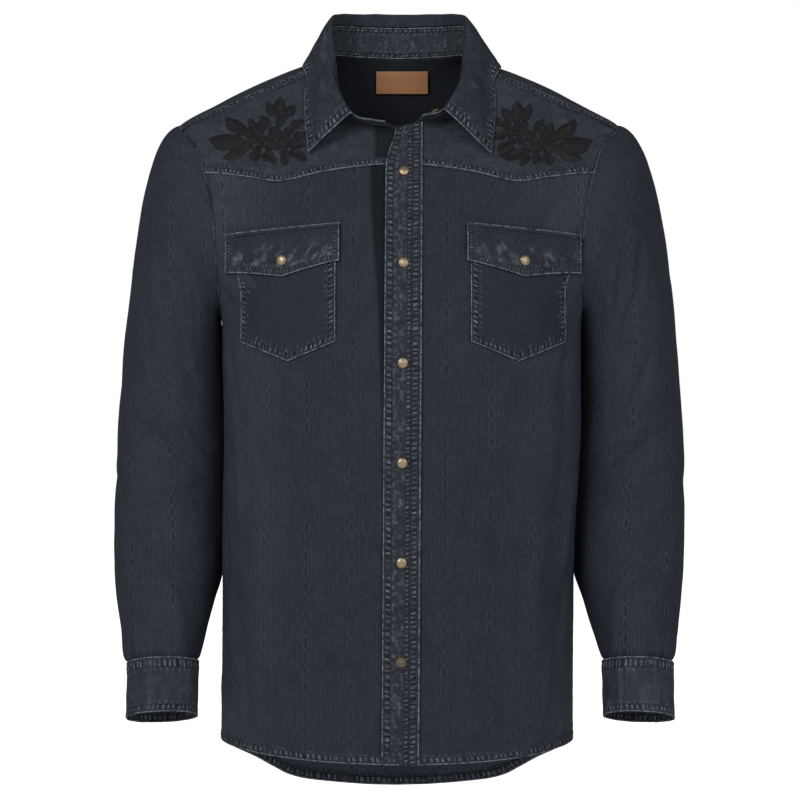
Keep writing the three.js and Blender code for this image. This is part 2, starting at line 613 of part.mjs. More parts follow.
// Degrees round the armhole at which the body panels have their points.
const ARMHOLE_STATIONS = (() => {
  const spans = [
    [0, ARMHOLE_FRONT_YOKE, ARMHOLE_STEPS.front],
    [ARMHOLE_FRONT_YOKE, ARMHOLE_SHOULDER, ARMHOLE_STEPS.frontYoke],
    [ARMHOLE_SHOULDER, ARMHOLE_BACK_YOKE, ARMHOLE_STEPS.backYoke],
    [ARMHOLE_BACK_YOKE, 360, ARMHOLE_STEPS.back],
  ];
  return spans.flatMap(([from, to, steps]) =>
    Array.from({ length: steps }, (_, i) => lerp(from, to, i / steps)));
})();

// A point of a ring given by its outer and inner ends, half its depth, its y and its tilt.
function ringPoint(outX, outZ, inX, inZ, deep, y, tilt, degrees, out = 0) {
  const turn = radians(degrees);
  const wide = Math.hypot(outX - inX, outZ - inZ) / 2;
  const across = vec(outX - inX, 0, outZ - inZ).normalize();
  const forward = vec(0, -Math.cos(radians(tilt)), Math.sin(radians(tilt)));
  return vec((outX + inX) / 2, y, (outZ + inZ) / 2)
    .addScaledVector(across, -(wide + out) * Math.cos(turn))
    .addScaledVector(forward, (deep + out) * Math.sin(turn));
}

const mirrored = (p, side) => vec(side * p.x, p.y, p.z);

// A point of a sleeve's outer surface, at degrees round from the underarm over the front and at
// a place between the rings of the table.
function sleevePoint(side, degrees, ring) {
  const row = (key) => atRow(RINGS, key, ring);
  const more = side > 0 ? row("left") : 0;
  const beside = side * along(BODY_SECTIONS, "z", "middle", row("inZ"));
  const free = THREE.MathUtils.clamp(ring - 12, 0, 1);
  const [outX, inX] = [row("outX") + more, row("inX") + lerp(beside, more, free)];
  const p = ringPoint(outX, row("outZ"), inX, row("inZ"), row("deep"), row("y"), row("tilt"),
    degrees);
  const middle = vec((outX + inX) / 2, row("y"), (row("outZ") + row("inZ")) / 2);
  const fold = SLEEVE_FOLDS.reduce((sum, f) => {
    const turn = ((degrees - f.at + 540) % 360) - 180;
    return sum + f.depth * bump(turn, f.wide) * bump(ring - f.ring, f.tall);
  }, 0);
  p.addScaledVector(p.clone().sub(middle).normalize(), fold);
  const share = Math.max(row("seam"), 0);
  const seam = bodyPoint(...armhole(degrees % 360, side));
  const push = 36 * (1 - share) * (0.04 + 0.48 * (1 - Math.cos(radians(degrees))));
  seam.x = side * seam.x + SEAM + 0.2 + push;
  if (ring < 5) p.lerp(seam, ring < 1e-6 ? 1 : Math.min(share, 1));
  return mirrored(p, side);
}

function sleeve(side) {
  const last = RINGS.length - 1;
  const outer = RINGS.map((_, ring) =>
    ARMHOLE_STATIONS.map((degrees) => sleevePoint(side, degrees, ring)));
  const normal = (degrees, ring) => {
    const r = THREE.MathUtils.clamp(ring, 0.15, last - 0.05);
    return normalOf((d, v) => sleevePoint(side, (d + 360) % 360, v), degrees, r, 1, 0.05)
      .multiplyScalar(-side);
  };
  const inner = outer.map((row, ring) =>
    row.map((p, i) => p.clone().addScaledVector(normal(ARMHOLE_STATIONS[i], ring), -CLOTH)));
  return solid(side > 0 ? "sleeve_left" : "sleeve_right", outer, inner, STRIPED, true);
}

function cuffPoint(side, degrees, share, out) {
  const at = (top, end) => lerp(CUFF[top], CUFF[end], share);
  const more = side > 0 ? CUFF.left : 0;
  const p = ringPoint(at("topOutX", "endOutX") + more, at("topOutZ", "endOutZ"),
    at("topInX", "endInX") + more, at("topInZ", "endInZ"), CUFF.deep, at("topY", "endY"),
    CUFF.tilt, degrees, out);
  return mirrored(p, side);
}

function cuff(side) {
  const sweep = 360 + CUFF.lap;
  const face = (out) => spread(CUFF.steps, 3, (s, t) => {
    const lift = THREE.MathUtils.smoothstep(s * sweep, 336, 358) * (FOLDED + LAYER);
    return cuffPoint(side, CUFF.start + s * sweep, 1 - t, out + lift);
  });
  return solid(side > 0 ? "cuff_left" : "cuff_right", face(0), face(-FOLDED), STRIPED);
}

function slit(side) {
  const inner = spread(2, 8, (s, t) => {
    const degrees = lerp(SLEEVE_SLIT.from, SLEEVE_SLIT.to, s);
    const ring = lerp(SLEEVE_SLIT.foot, SLEEVE_SLIT.top, t);
    const out = normalOf((d, v) => sleevePoint(side, d, v), degrees, ring, 1, 0.05);
    return [sleevePoint(side, degrees, ring), out.multiplyScalar(-side)];
  });
  const face = (out) => inner.map((row) =>
    row.map(([p, normal]) => p.clone().addScaledVector(normal, out)));
  return solid(side > 0 ? "slit_left" : "slit_right", face(LAYER + FOLDED), face(LAYER), PLAIN);
}

// ---- Collar -----------------------------------------------------------------------------------

// The stand at degrees round and a share of its height: its outer face, its outward direction
// and the direction up along it.
function standFrame(degrees) {
  const turn = degrees > 180 ? 360 - degrees : degrees;
  const tilt = radians(along(STAND, "at", "tilt", turn));
  const foot = bodyPoint(...neck(degrees));
  const out = bodyPoint(neck(degrees - 4)[0], neck(degrees - 4)[1])
    .sub(bodyPoint(neck(degrees + 4)[0], neck(degrees + 4)[1]))
    .setZ(0).normalize().cross(vec(0, 0, -1));
  const up = vec(0, 0, Math.cos(tilt)).addScaledVector(out, Math.sin(tilt));
  const facing = out.clone().multiplyScalar(Math.cos(tilt)).addScaledVector(vec(0, 0, 1),
    -Math.sin(tilt));
  return { foot, out, up, facing, high: along(STAND, "at", "high", turn) };
}

function collarStand() {
  const face = (deep) => spread(38, 2, (s, t) => {
    const { foot, up, facing, high } = standFrame(lerp(STAND_ENDS.left, STAND_ENDS.right, s));
    return foot.addScaledVector(up, STAND_GAP + t * high).addScaledVector(facing, deep);
  });
  return solid("collar_stand", face(0), face(-FOLDED), PLAIN);
}

// A point of the leaf's outer face: station is from 0 at the wearer's left front edge round the
// back to twice the table's length, and t goes from the stand to the outer edge.
const LEAF_TABLE = numbered(LEAF);
function leafPoint(station, t) {
  const last = LEAF_TABLE.length - 1;
  const past = station > last;
  const place = past ? 2 * last - station : station;
  const row = (key) => atRow(LEAF_TABLE, key, place);
  const at = past ? 360 - row("at") : row("at");
  const { foot, out, up, facing, high } = standFrame(at);
  const start = foot.addScaledVector(up, high + STAND_GAP + 2).addScaledVector(facing, -FOLDED);
  const edgeAngle = radians(past ? -row("edge") : row("edge"));
  const edgeZ = row("edgeZ") + (past ? LEAF_RIGHT * Math.sin(edgeAngle) ** 2 : 0);
  const edge = bodyPoint(edgeAngle, edgeZ);
  edge.addScaledVector(bodyNormal(edgeAngle, edgeZ), row("lift"));
  const rolled = start.clone().addScaledVector(up, 1.9 * row("rise"));
  const over = rolled.clone().addScaledVector(out, 2 * row("reach"));
  return new THREE.CubicBezierCurve3(start, rolled, over, edge).getPoint(t);
}

function collar() {
  const columns = 4 * (LEAF_TABLE.length - 1);
  const station = (s) => (s * columns) / 2;
  const outer = spread(columns, LEAF_ROWS, (s, t) => leafPoint(station(s), t));
  const normals = spread(columns, LEAF_ROWS, (s, t) => {
    const place = THREE.MathUtils.clamp(station(s), 0.02, columns / 2 - 0.02);
    return normalOf(leafPoint, place, THREE.MathUtils.clamp(t, 0.03, 0.97), 0.02, 0.03);
  });
  const sign = -Math.sign(normals[LEAF_ROWS][columns / 2].y);
  const inner = moved(outer, normals, () => sign * FOLDED);
  return solid("collar", outer, inner, PLAIN);
}

// ---- Pieces on the fronts ---------------------------------------------------------------------

const neckZAt = (x) => neck(THREE.MathUtils.radToDeg(angleAt(x, -84)))[1];

function placket() {
  const places = spread(3, 26, (s, t) => {
    const foot = along(FRONT_HEM, "share", "z", 0) + 0.4;
    const straight = lerp(foot, -88, t);
    const curve = THREE.MathUtils.smoothstep(straight, -140, -88) ** 1.5 * 10 * (1 - s);
    const x = placketCentre(straight) + (s - 0.5) * PLACKET_WIDTH + curve;
    const z = lerp(foot, neckZAt(x) - 2, t);
    return onFront(x, z);
  });
  return overlay("placket", places, PLAIN, () => LAYER + 0.5, FOLDED);
}

function underPlacket() {
  const deep = -(CLOTH + LAYER + 0.7 + FOLDED);
  const places = spread(2, 20, (s, t) => {
    const foot = along(FRONT_HEM, "share", "z", 0) + 2;
    const straight = lerp(foot, -90, t);
    const x = jointX(straight) - 1 - (1 - s) * 35;
    return onFront(x, lerp(foot, neckZAt(x) - 3, t));
  });
  return overlay("under_placket", places, PLAIN, () => deep, FOLDED);
}

// x of a flap or pocket at a share across, counted from the placket's centre, on either side.
const pocketX = (side, across) => placketCentre(-280) + side * (POCKET.innerX + across);

function flap(side) {
  const places = spread(8, 3, (s, t) => {
    const across = s * POCKET.flapWidth;
    const point = 1 - Math.abs(2 * s - 1);
    const drop = lerp(POCKET.flapSide, POCKET.flapPoint, point);
    const top = POCKET.topZ + POCKET.slope * across;
    return onFront(pocketX(side, across), top - drop * (1 - t));
  });
  const name = side > 0 ? "flap_left" : "flap_right";
  return overlay(name, places, PLAIN, () => LAYER * 2 + CLOTH + 0.4, FOLDED);
}

function pocket(side) {
  const places = spread(8, 6, (s, t) => {
    const wide = POCKET.flapWidth - 2 * POCKET.bagInset;
    const taper = s * POCKET.bagTaper * Math.min(1, (1 - t) * 2.2);
    const across = POCKET.bagInset + s * wide - taper;
    const point = 1 - Math.abs(2 * s - 1);
    const top = POCKET.topZ + POCKET.slope * across + POCKET.bagTop;
    const foot = POCKET.topZ + lerp(POCKET.bagSide, POCKET.bagPoint, point);
    return onFront(pocketX(side, across), lerp(foot, top + 22, t));
  });
  const name = side > 0 ? "pocket_left" : "pocket_right";
  return overlay(name, places, STRIPED, () => LAYER + 0.2, CLOTH);
}

// ---- Label and snaps --------------------------------------------------------------------------

function label() {
  const places = spread(4, 2, (s, t) => {
    const x = 3.4 + (0.5 - s) * LABEL.width;
    const z = LABEL.top - LABEL.height * (1 - t);
    return onBack(x, z);
  });
  const deep = CLOTH + LAYER + 0.8 + LABEL.thick;
  return overlay("label", places, LEATHER, () => -deep, LABEL.thick);
}

// A snap: a turned shape set on a point, its axis along the outward direction.
function snap(name, profile, point, outward, material) {
  const points = profile.map(([x, y]) => new THREE.Vector2(x, y));
  const turned = new THREE.LatheGeometry(points, 14);
  turned.applyQuaternion(new THREE.Quaternion().setFromUnitVectors(vec(0, 1, 0), outward));
  turned.translate(point.x, point.y, point.z);
  return solidOfTurning(name, turned, material);
}

// Joins the seam and the poles of a turned shape into one closed mesh.
function solidOfTurning(name, turned, material) {
  const place = turned.attributes.position;
  const kept = new Map();
  const positions = [];
  const number = [];
  for (let i = 0; i < place.count; i += 1) {
    const p = [place.getX(i), place.getY(i), place.getZ(i)];
    const key = p.map((value) => value.toFixed(3)).join(",");
    if (!kept.has(key)) {
      kept.set(key, kept.size);
      positions.push(...p);
    }
    number.push(kept.get(key));
  }
  const index = [];
  for (let i = 0; i < turned.index.count; i += 3) {
    const [a, b, c] = [0, 1, 2].map((k) => number[turned.index.getX(i + k)]);
    if (a !== b && b !== c && c !== a) index.push(a, b, c);
  }
  const geometry = new THREE.BufferGeometry();
  geometry.setAttribute("position", new THREE.Float32BufferAttribute(positions, 3));
  geometry.setIndex(index);
  const mesh = new THREE.Mesh(geometry, material);
  mesh.name = name;
  return facingOut(mesh);
}

const DOME = [
  [0, 0], [SNAP.radius * 0.94, 0], [SNAP.radius, 0.5], [SNAP.radius, SNAP.rim],
  [SNAP.radius * 0.82, 2.1], [SNAP.radius * 0.48, 3], [0, SNAP.dome],
];
const RING = [
  [0, 0], [SNAP.radius * 0.97, 0], [SNAP.radius * 1.02, 0.8], [SNAP.radius * 0.86, 1.7],
  [SNAP.radius * 0.64, 0.8], [SNAP.radius * 0.4, 0.8], [SNAP.radius * 0.32, 1.7], [0, 2],
];

function frontSnap(name, x, z, lift, ring = false) {
  const [angle, height] = onFront(x, z);
  const outward = bodyNormal(angle, height);
  const point = bodyPoint(angle, height).addScaledVector(outward, lift + 0.45);
  return snap(name, ring ? RING : DOME, point, outward, ring ? COPPER : BRASS);
}

function snaps() {
  const onPlacket = LAYER + 0.5 + FOLDED;
  const list = SNAP_Z.map((z, i) =>
    frontSnap(`snap_${i + 1}`, placketCentre(z), z, onPlacket, i === SNAP_Z.length - 1));
  const onFlap = LAYER * 2 + CLOTH + 0.4 + FOLDED;
  [1, -1].forEach((side) => {
    const name = side > 0 ? "left" : "right";
    const across = POCKET.flapWidth / 2;
    const z = POCKET.topZ + POCKET.slope * across - POCKET.flapPoint + 17;
    list.push(frontSnap(`snap_flap_${name}`, pocketX(side, across), z, onFlap));
    const degrees = CUFF.start + CUFF.lap - 12;
    const point = cuffPoint(side, degrees, 0.5, FOLDED + LAYER + 0.45);
    const outward = point.clone().sub(cuffPoint(side, degrees, 0.5, 0)).normalize();
    list.push(snap(`snap_cuff_${name}`, DOME, point, outward, BRASS));
  });
  const onStand = (degrees, t) => {
    const { foot, up, high } = standFrame(degrees);
    return foot.addScaledVector(up, STAND_GAP + t * high);
  };
  const inward = normalOf(onStand, STAND_ENDS.left + 14, 0.5, 3, 0.2).negate();
  const point = onStand(STAND_ENDS.left + 14, 0.5).addScaledVector(inward, FOLDED + 1.5);
  list.push(snap("snap_stand", DOME, point, inward, BRASS));
  return list;
}

// ---- The whole shirt --------------------------------------------------------------------------

const group = new THREE.Group();
group.name = "button_up_shirt";
[1, -1].forEach((side) => {
  group.add(front(side), frontYoke(side), sleeve(side), cuff(side), slit(side));
  group.add(pocket(side), flap(side));
});
group.add(back(), backYoke(), collarStand(), collar(), placket(), underPlacket(), label());
snaps().forEach((piece) => group.add(piece));

export default group;
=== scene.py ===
"""A man's western shirt in washed dark denim, filled out as it is worn, on a pale floor.

Lengths are in millimetres until a mesh is made, which is in metres. +X is the wearer's left,
+Z is up, and the front faces -Y. Every piece of cloth is a thin shell on the form of its solid.
"""

import logging
import math
from dataclasses import dataclass, field
from enum import Enum
from typing import Any, Callable, Dict, List, Optional, Sequence, Tuple, Union

import bpy
import numpy as np
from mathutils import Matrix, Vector


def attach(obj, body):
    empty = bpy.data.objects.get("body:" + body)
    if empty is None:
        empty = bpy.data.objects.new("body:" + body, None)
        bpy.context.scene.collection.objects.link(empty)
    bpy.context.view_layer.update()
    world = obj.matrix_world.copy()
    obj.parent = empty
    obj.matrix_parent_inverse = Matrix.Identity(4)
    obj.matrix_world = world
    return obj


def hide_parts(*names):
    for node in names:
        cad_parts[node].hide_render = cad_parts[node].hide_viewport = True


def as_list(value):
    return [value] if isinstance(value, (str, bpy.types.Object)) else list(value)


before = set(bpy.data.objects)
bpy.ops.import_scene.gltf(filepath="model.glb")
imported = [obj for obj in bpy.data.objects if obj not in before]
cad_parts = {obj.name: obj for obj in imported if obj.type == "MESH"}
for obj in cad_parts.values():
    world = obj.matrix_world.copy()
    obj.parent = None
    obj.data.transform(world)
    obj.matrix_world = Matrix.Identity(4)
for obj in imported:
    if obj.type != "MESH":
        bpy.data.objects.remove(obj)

LOG = logging.getLogger("shirt")
Array = np.ndarray
Pair = Tuple[float, float]
Point = Tuple[float, float, float]
Colour = Tuple[float, float, float]
Places = Tuple[Array, Array]
Edge = Callable[[Array], Array]
Pieces = List[bpy.types.Object]

MM = 0.001
# Distances of the two rows of stitches from an edge, and from pucker to pucker, in mm, as the
# finishes read them, and the distance from an edge where there is none.
SEAM_ROWS = (2.0, 7.6)
PUCKER = 6.8
NO_SEAM = 500.0
# The woven pattern, in metres: from stripe to stripe, from chain to chain, and a diamond's
# length and half its width.
STRIPE_PITCH = 0.00275
CHAIN_PITCH = 0.05
DIAMOND_LONG = 0.0154
DIAMOND_HALF = 0.0031
# Share of a snap's reach from its middle beyond which its rim starts.
RIM_FROM = 0.93


# ---- Tables of sizes ---------------------------------------------------------------------------


class Table:
    """Rows of named columns, read as smooth curves.

    Args:
        columns: The names of the columns. All are read against the first, which rises.
        *rows: The rows.
    """

    def __init__(self, columns: str, *rows: Sequence[float]) -> None:
        data = np.array(rows, float)
        self.at = data[:, 0]
        self.columns = dict(zip(columns.split(), data.T))

    def read(self, key: str, at: Array) -> Array:
        """Reads a column along a smooth curve.

        Args:
            key: The column.
            at: Places in the column that the table is read against.

        Returns:
            The values there, held at the ends.
        """
        x, y = self.at, self.columns[key]
        at = np.clip(np.asarray(at, float), x[0], x[-1])
        i = np.clip(np.searchsorted(x, at, side="left") - 1, 0, len(x) - 2)
        place = np.arange(len(x))
        low, high = np.maximum(place - 1, 0), np.minimum(place + 1, len(x) - 1)
        slope = (y[high] - y[low]) / (x[high] - x[low])
        span = x[i + 1] - x[i]
        t = (at - x[i]) / span
        t2, t3 = t * t, t * t * t
        return ((2 * t3 - 3 * t2 + 1) * y[i] + (t3 - 2 * t2 + t) * span * slope[i]
                + (3 * t2 - 2 * t3) * y[i + 1] + (t3 - t2) * span * slope[i + 1])


@dataclass(frozen=True)
class Fold:
    """A broad fold of a solid: place, slope, reach and depth (a negative depth is a trough)."""

    at: float
    z: float
    wide: float
    tall: float
    depth: float
    slope: float = 0.0


@dataclass(frozen=True)
class Crease:
    """A crease laid on a panel, in millimetres along its grain.

    Attributes:
        u: Middle across the grain.
        v: Middle along the grain.
        length: Its length.
        turn: Its turn from across the grain, in degrees.
        wide: Half its width.
        depth: Its height, or depth if negative.
        bow: How far its middle bows out.
    """

    u: float
    v: float
    length: float
    turn: float
    wide: float
    depth: float
    bow: float = 0.0


def folds(*rows: Sequence[float]) -> Tuple[Fold, ...]:
    """Folds from their numbers, in the order of their attributes."""
    return tuple(Fold(*row) for row in rows)


def creases(*rows: Sequence[float]) -> Tuple[Crease, ...]:
    """Creases from their numbers, in the order of their attributes."""
    return tuple(Crease(*row) for row in rows)


@dataclass(frozen=True)
class ShirtSizes:
    """The sizes that all the pieces share."""

    cloth: float = 0.9
    folded: float = 1.6
    layer: float = 0.7
    bag: float = 1.2
    underarm_z: float = -278.0
    shoulder_z: float = -77.0
    side_hem_z: float = -748.0
    placket_width: float = 40.0
    placket_x: float = 3.4
    placket_mid_z: float = -450.0
    placket_lean: float = 0.0065
    joint: float = 11.0
    neck_corner: float = 78.0
    front_yoke_arm: float = 117.0
    shoulder_arm: float = 167.0
    back_yoke_arm: float = 248.0
    armhole_reach: float = 67.0
    armhole_egg: float = 0.3

    @property
    def armhole_z(self) -> float:
        """Middle height of the armhole."""
        return (self.shoulder_z + self.underarm_z) / 2

    @property
    def armhole_tall(self) -> float:
        """Half the armhole's height."""
        return (self.shoulder_z - self.underarm_z) / 2


SIZES = ShirtSizes()

BODY = Table(
    "z middle half front back power",
    (-830, -2.6, 193.6, 143, 125, 2.3), (-748, -2.2, 192.6, 141, 122, 2.3),
    (-620, -1.2, 192.2, 138, 114, 2.3), (-520, -0.4, 193, 138, 109, 2.3),
    (-420, 3.8, 195.2, 140, 111, 2.3), (-340, 3, 196, 140, 118, 2.3),
    (-278, 2.6, 199.5, 135, 122, 2.25), (-230, 0, 224, 126, 123, 2.2),
    (-180, 0, 244, 110, 120, 2.2), (-130, 0, 252, 87, 112, 2.15), (-100, 0, 250, 68, 103, 2.1),
    (-77, 0, 241, 56, 94, 2.1), (-56, 0, 204, 48.5, 85, 2.05), (-36, 0, 165, 41, 75, 2.05),
    (-20, 0, 128, 35, 65, 2), (-8, 0, 95, 30, 56, 2), (0, 0, 72, 26, 50, 2),
    (10, 0, 52, 20, 42, 2),
)
BODY_FOLDS = folds(
    (52, -560, 9, 190, 3.4, 0.012), (68, -600, 8, 170, -3.6, 0.016),
    (-58, -590, 9, 180, 3.2, -0.014), (-72, -560, 8, 150, -3.2, -0.01),
    (118, -560, 10, 190, 4.2, 0.01), (146, -620, 11, 170, -4.4, -0.01),
    (176, -640, 10, 180, 4.2, 0.012), (-150, -600, 10, 180, -4.2, 0.01),
    (-120, -580, 10, 190, 4.0, -0.01),
)
FRONT_YOKE = Table(
    "x z",
    (-40, -124), (0, -124), (35, -125), (80, -131), (122, -141), (160, -136), (200, -131),
    (240, -130),
)
BACK_YOKE = Table(
    "x z",
    (0, -162), (50, -152), (110, -143), (170, -140), (240, -140),
)
NECK = Table(
    "at left right",
    (0, -83.5, -83.5), (7, -79.3, -81.8), (15, -76.4, -80.8), (25, -73.9, -79.4), (35, -72, -77),
    (45, -66, -69), (52, -57, -58), (60, -40, -40), (70, -19, -19), (78, -7, -7), (92, 0, 0),
    (130, 1, 1), (180, 0, 0),
)
FRONT_HEM = Table(
    "share z",
    (0, -768), (0.3, -766), (0.52, -762), (0.74, -755), (1, -748),
)
BACK_HEM = Table(
    "share z",
    (0, -813), (0.2, -811.5), (0.45, -805.5), (0.55, -799), (0.62, -789), (0.7, -777),
    (0.8, -766), (1, -748),
)
SLEEVE = Table(
    "ring out_x out_z in_x in_z deep y tilt seam left",
    (0, 241, -77, 205, -278, 74, 0, 0, 1, 0), (1, 253.5, -92, 200.2, -281, 74, 4, 0, 0.82, 0.5),
    (2, 264.3, -111, 199.6, -287, 73.5, 10, 0, 0.55, 1.5),
    (3, 274.1, -134, 198.6, -295, 73, 18, 0, 0.3, 3),
    (4, 282.9, -164, 196.2, -309, 72, 27, 0, 0.12, 4),
    (5, 290.7, -204, 194, -329, 71, 34, 0, 0, 4.5),
    (6, 297.4, -250, 192.4, -357, 69, 38, 0, 0, 4.5),
    (7, 303.5, -305, 191.8, -392, 67, 40, 0, 0, 4),
    (8, 308, -362, 191.4, -428, 66, 40, 0, 0, 3.5),
    (9, 311.5, -417, 190.8, -462, 64, 39, 2, 0, 3.5),
    (10, 314.1, -468, 190.2, -497, 62, 36, 5, 0, 2.5),
    (11, 315.1, -517, 190.8, -532, 60, 30, 8, 0, 1),
    (12, 313.9, -560, 193.5, -567, 57, 17, 11, 0, 0),
    (13, 310.4, -595, 202.5, -597, 53, -2, 13, 0, 0),
    (14, 304.4, -631, 210.8, -630, 47.5, -19.2, 13, 0, 1.5),
    (15, 298.9, -657.8, 217.1, -655.8, 40.4, -29.4, 13, 0, 2.5),
    (16, 294.5, -663.7, 220.3, -661.7, 36.8, -30.6, 13, 0, 3),
    (17, 294.4, -672.5, 220.6, -670.5, 36.4, -32.4, 13, 0, 3),
)
SLEEVE_FOLDS = folds(
    (62, 9.6, 40, 0.75, -4.6), (40, 8.2, 30, 0.8, 3), (70, 11.3, 36, 0.8, 3.2),
    (300, 10.4, 34, 0.9, -3), (118, 3.6, 16, 1.7, 2.6), (88, 3.8, 14, 1.8, -3),
    (262, 4.2, 18, 1.8, -3.2),
)
STAND = Table(
    "at tilt high",
    (10, 83, 25), (26, 83, 26), (38, 80, 27), (44, 62, 28), (50, 36, 30), (60, 4, 31),
    (90, -5, 32), (130, -2, 33), (180, 0, 34),
)
LEAF = Table(
    "row at rise reach edge edge_z lift",
    (0, 38, 3, 2, 54.3, -114.4, 4.5), (1, 50, 5, 3.5, 62.6, -82.4, 3.5),
    (2, 62, 8, 3, 69.7, -49.2, 2.8), (3, 76, 10, 1.6, 76.5, -26, 3.1),
    (4, 95, 10.5, 1.4, 91, -12, 3), (5, 120, 11.5, 4, 117, -9, 3.5), (6, 150, 12, 5, 150, -7, 5),
    (7, 180, 12, 5, 180, -6, 5),
)


@dataclass(frozen=True)
class CuffSizes:
    """A cuff: the outer and inner points of its top and end, and its lap."""

    top: Tuple[float, ...] = (296.8, -665.5, 218.2, -663.5, -30.8)
    end: Tuple[float, ...] = (297.2, -725, 219.2, -722, -44.8)
    deep: float = 39.0
    tilt: float = 13.0
    left: float = 3.0
    start: float = 205.0
    lap: float = 36.0


@dataclass(frozen=True)
class StandSizes:
    """The collar's stand, and how the leaf sits on it."""

    left: float = 22.0
    right: float = 347.0
    gap: float = 1.3
    leaf_gap: float = 2.0
    leaf_right: float = 2.6


@dataclass(frozen=True)
class PocketSizes:
    """A chest pocket and its flap, counted from the front strip's middle."""

    inner_x: float = 68.0
    top_z: float = -189.0
    slope: float = -0.085
    flap_width: float = 122.0
    flap_side: float = 41.0
    flap_point: float = 52.0
    bag_inset: float = 4.0
    bag_top: float = -36.0
    bag_side: float = -127.0
    bag_point: float = -148.0
    bag_taper: float = 12.0
    bag_under: float = 22.0


def bump(distance: Array, width: Array) -> Array:
    """A bump that falls off on both sides of its middle."""
    return np.exp(-((distance / width) ** 2))


def smooth(x: Array, low: float, high: float) -> Array:
    """A soft step from 0 at low to 1 at high."""
    t = np.clip((np.asarray(x, float) - low) / (high - low), 0, 1)
    return t * t * (3 - 2 * t)


def unit(v: Array) -> Array:
    """Vectors at length 1."""
    return v / np.maximum(np.linalg.norm(v, axis=-1, keepdims=True), 1e-9)


def lumps(u: Array, v: Array, size: float, seed: int) -> Array:
    """Smooth uneven lumps from -1 to 1, about size across.

    Args:
        u: First coordinate.
        v: Second coordinate.
        size: Distance from lump to lump.
        seed: Which lumps.

    Returns:
        The height of the lumps at each place.
    """
    rng = np.random.default_rng(seed)
    grid = rng.uniform(-1, 1, (64, 64))
    x, y = np.asarray(u) / size, np.asarray(v) / size
    i, j = np.floor(x).astype(int), np.floor(y).astype(int)
    a, b = x - i, y - j
    a, b = a * a * (3 - 2 * a), b * b * (3 - 2 * b)
    i0, i1, j0, j1 = i % 64, (i + 1) % 64, j % 64, (j + 1) % 64
    return ((grid[i0, j0] * (1 - a) + grid[i1, j0] * a) * (1 - b)
            + (grid[i0, j1] * (1 - a) + grid[i1, j1] * a) * b)


def side_name(side: int) -> str:
    """The name of the wearer's side: left for +1."""
    return "left" if side > 0 else "right"


# ---- The forms of the cloth --------------------------------------------------------------------


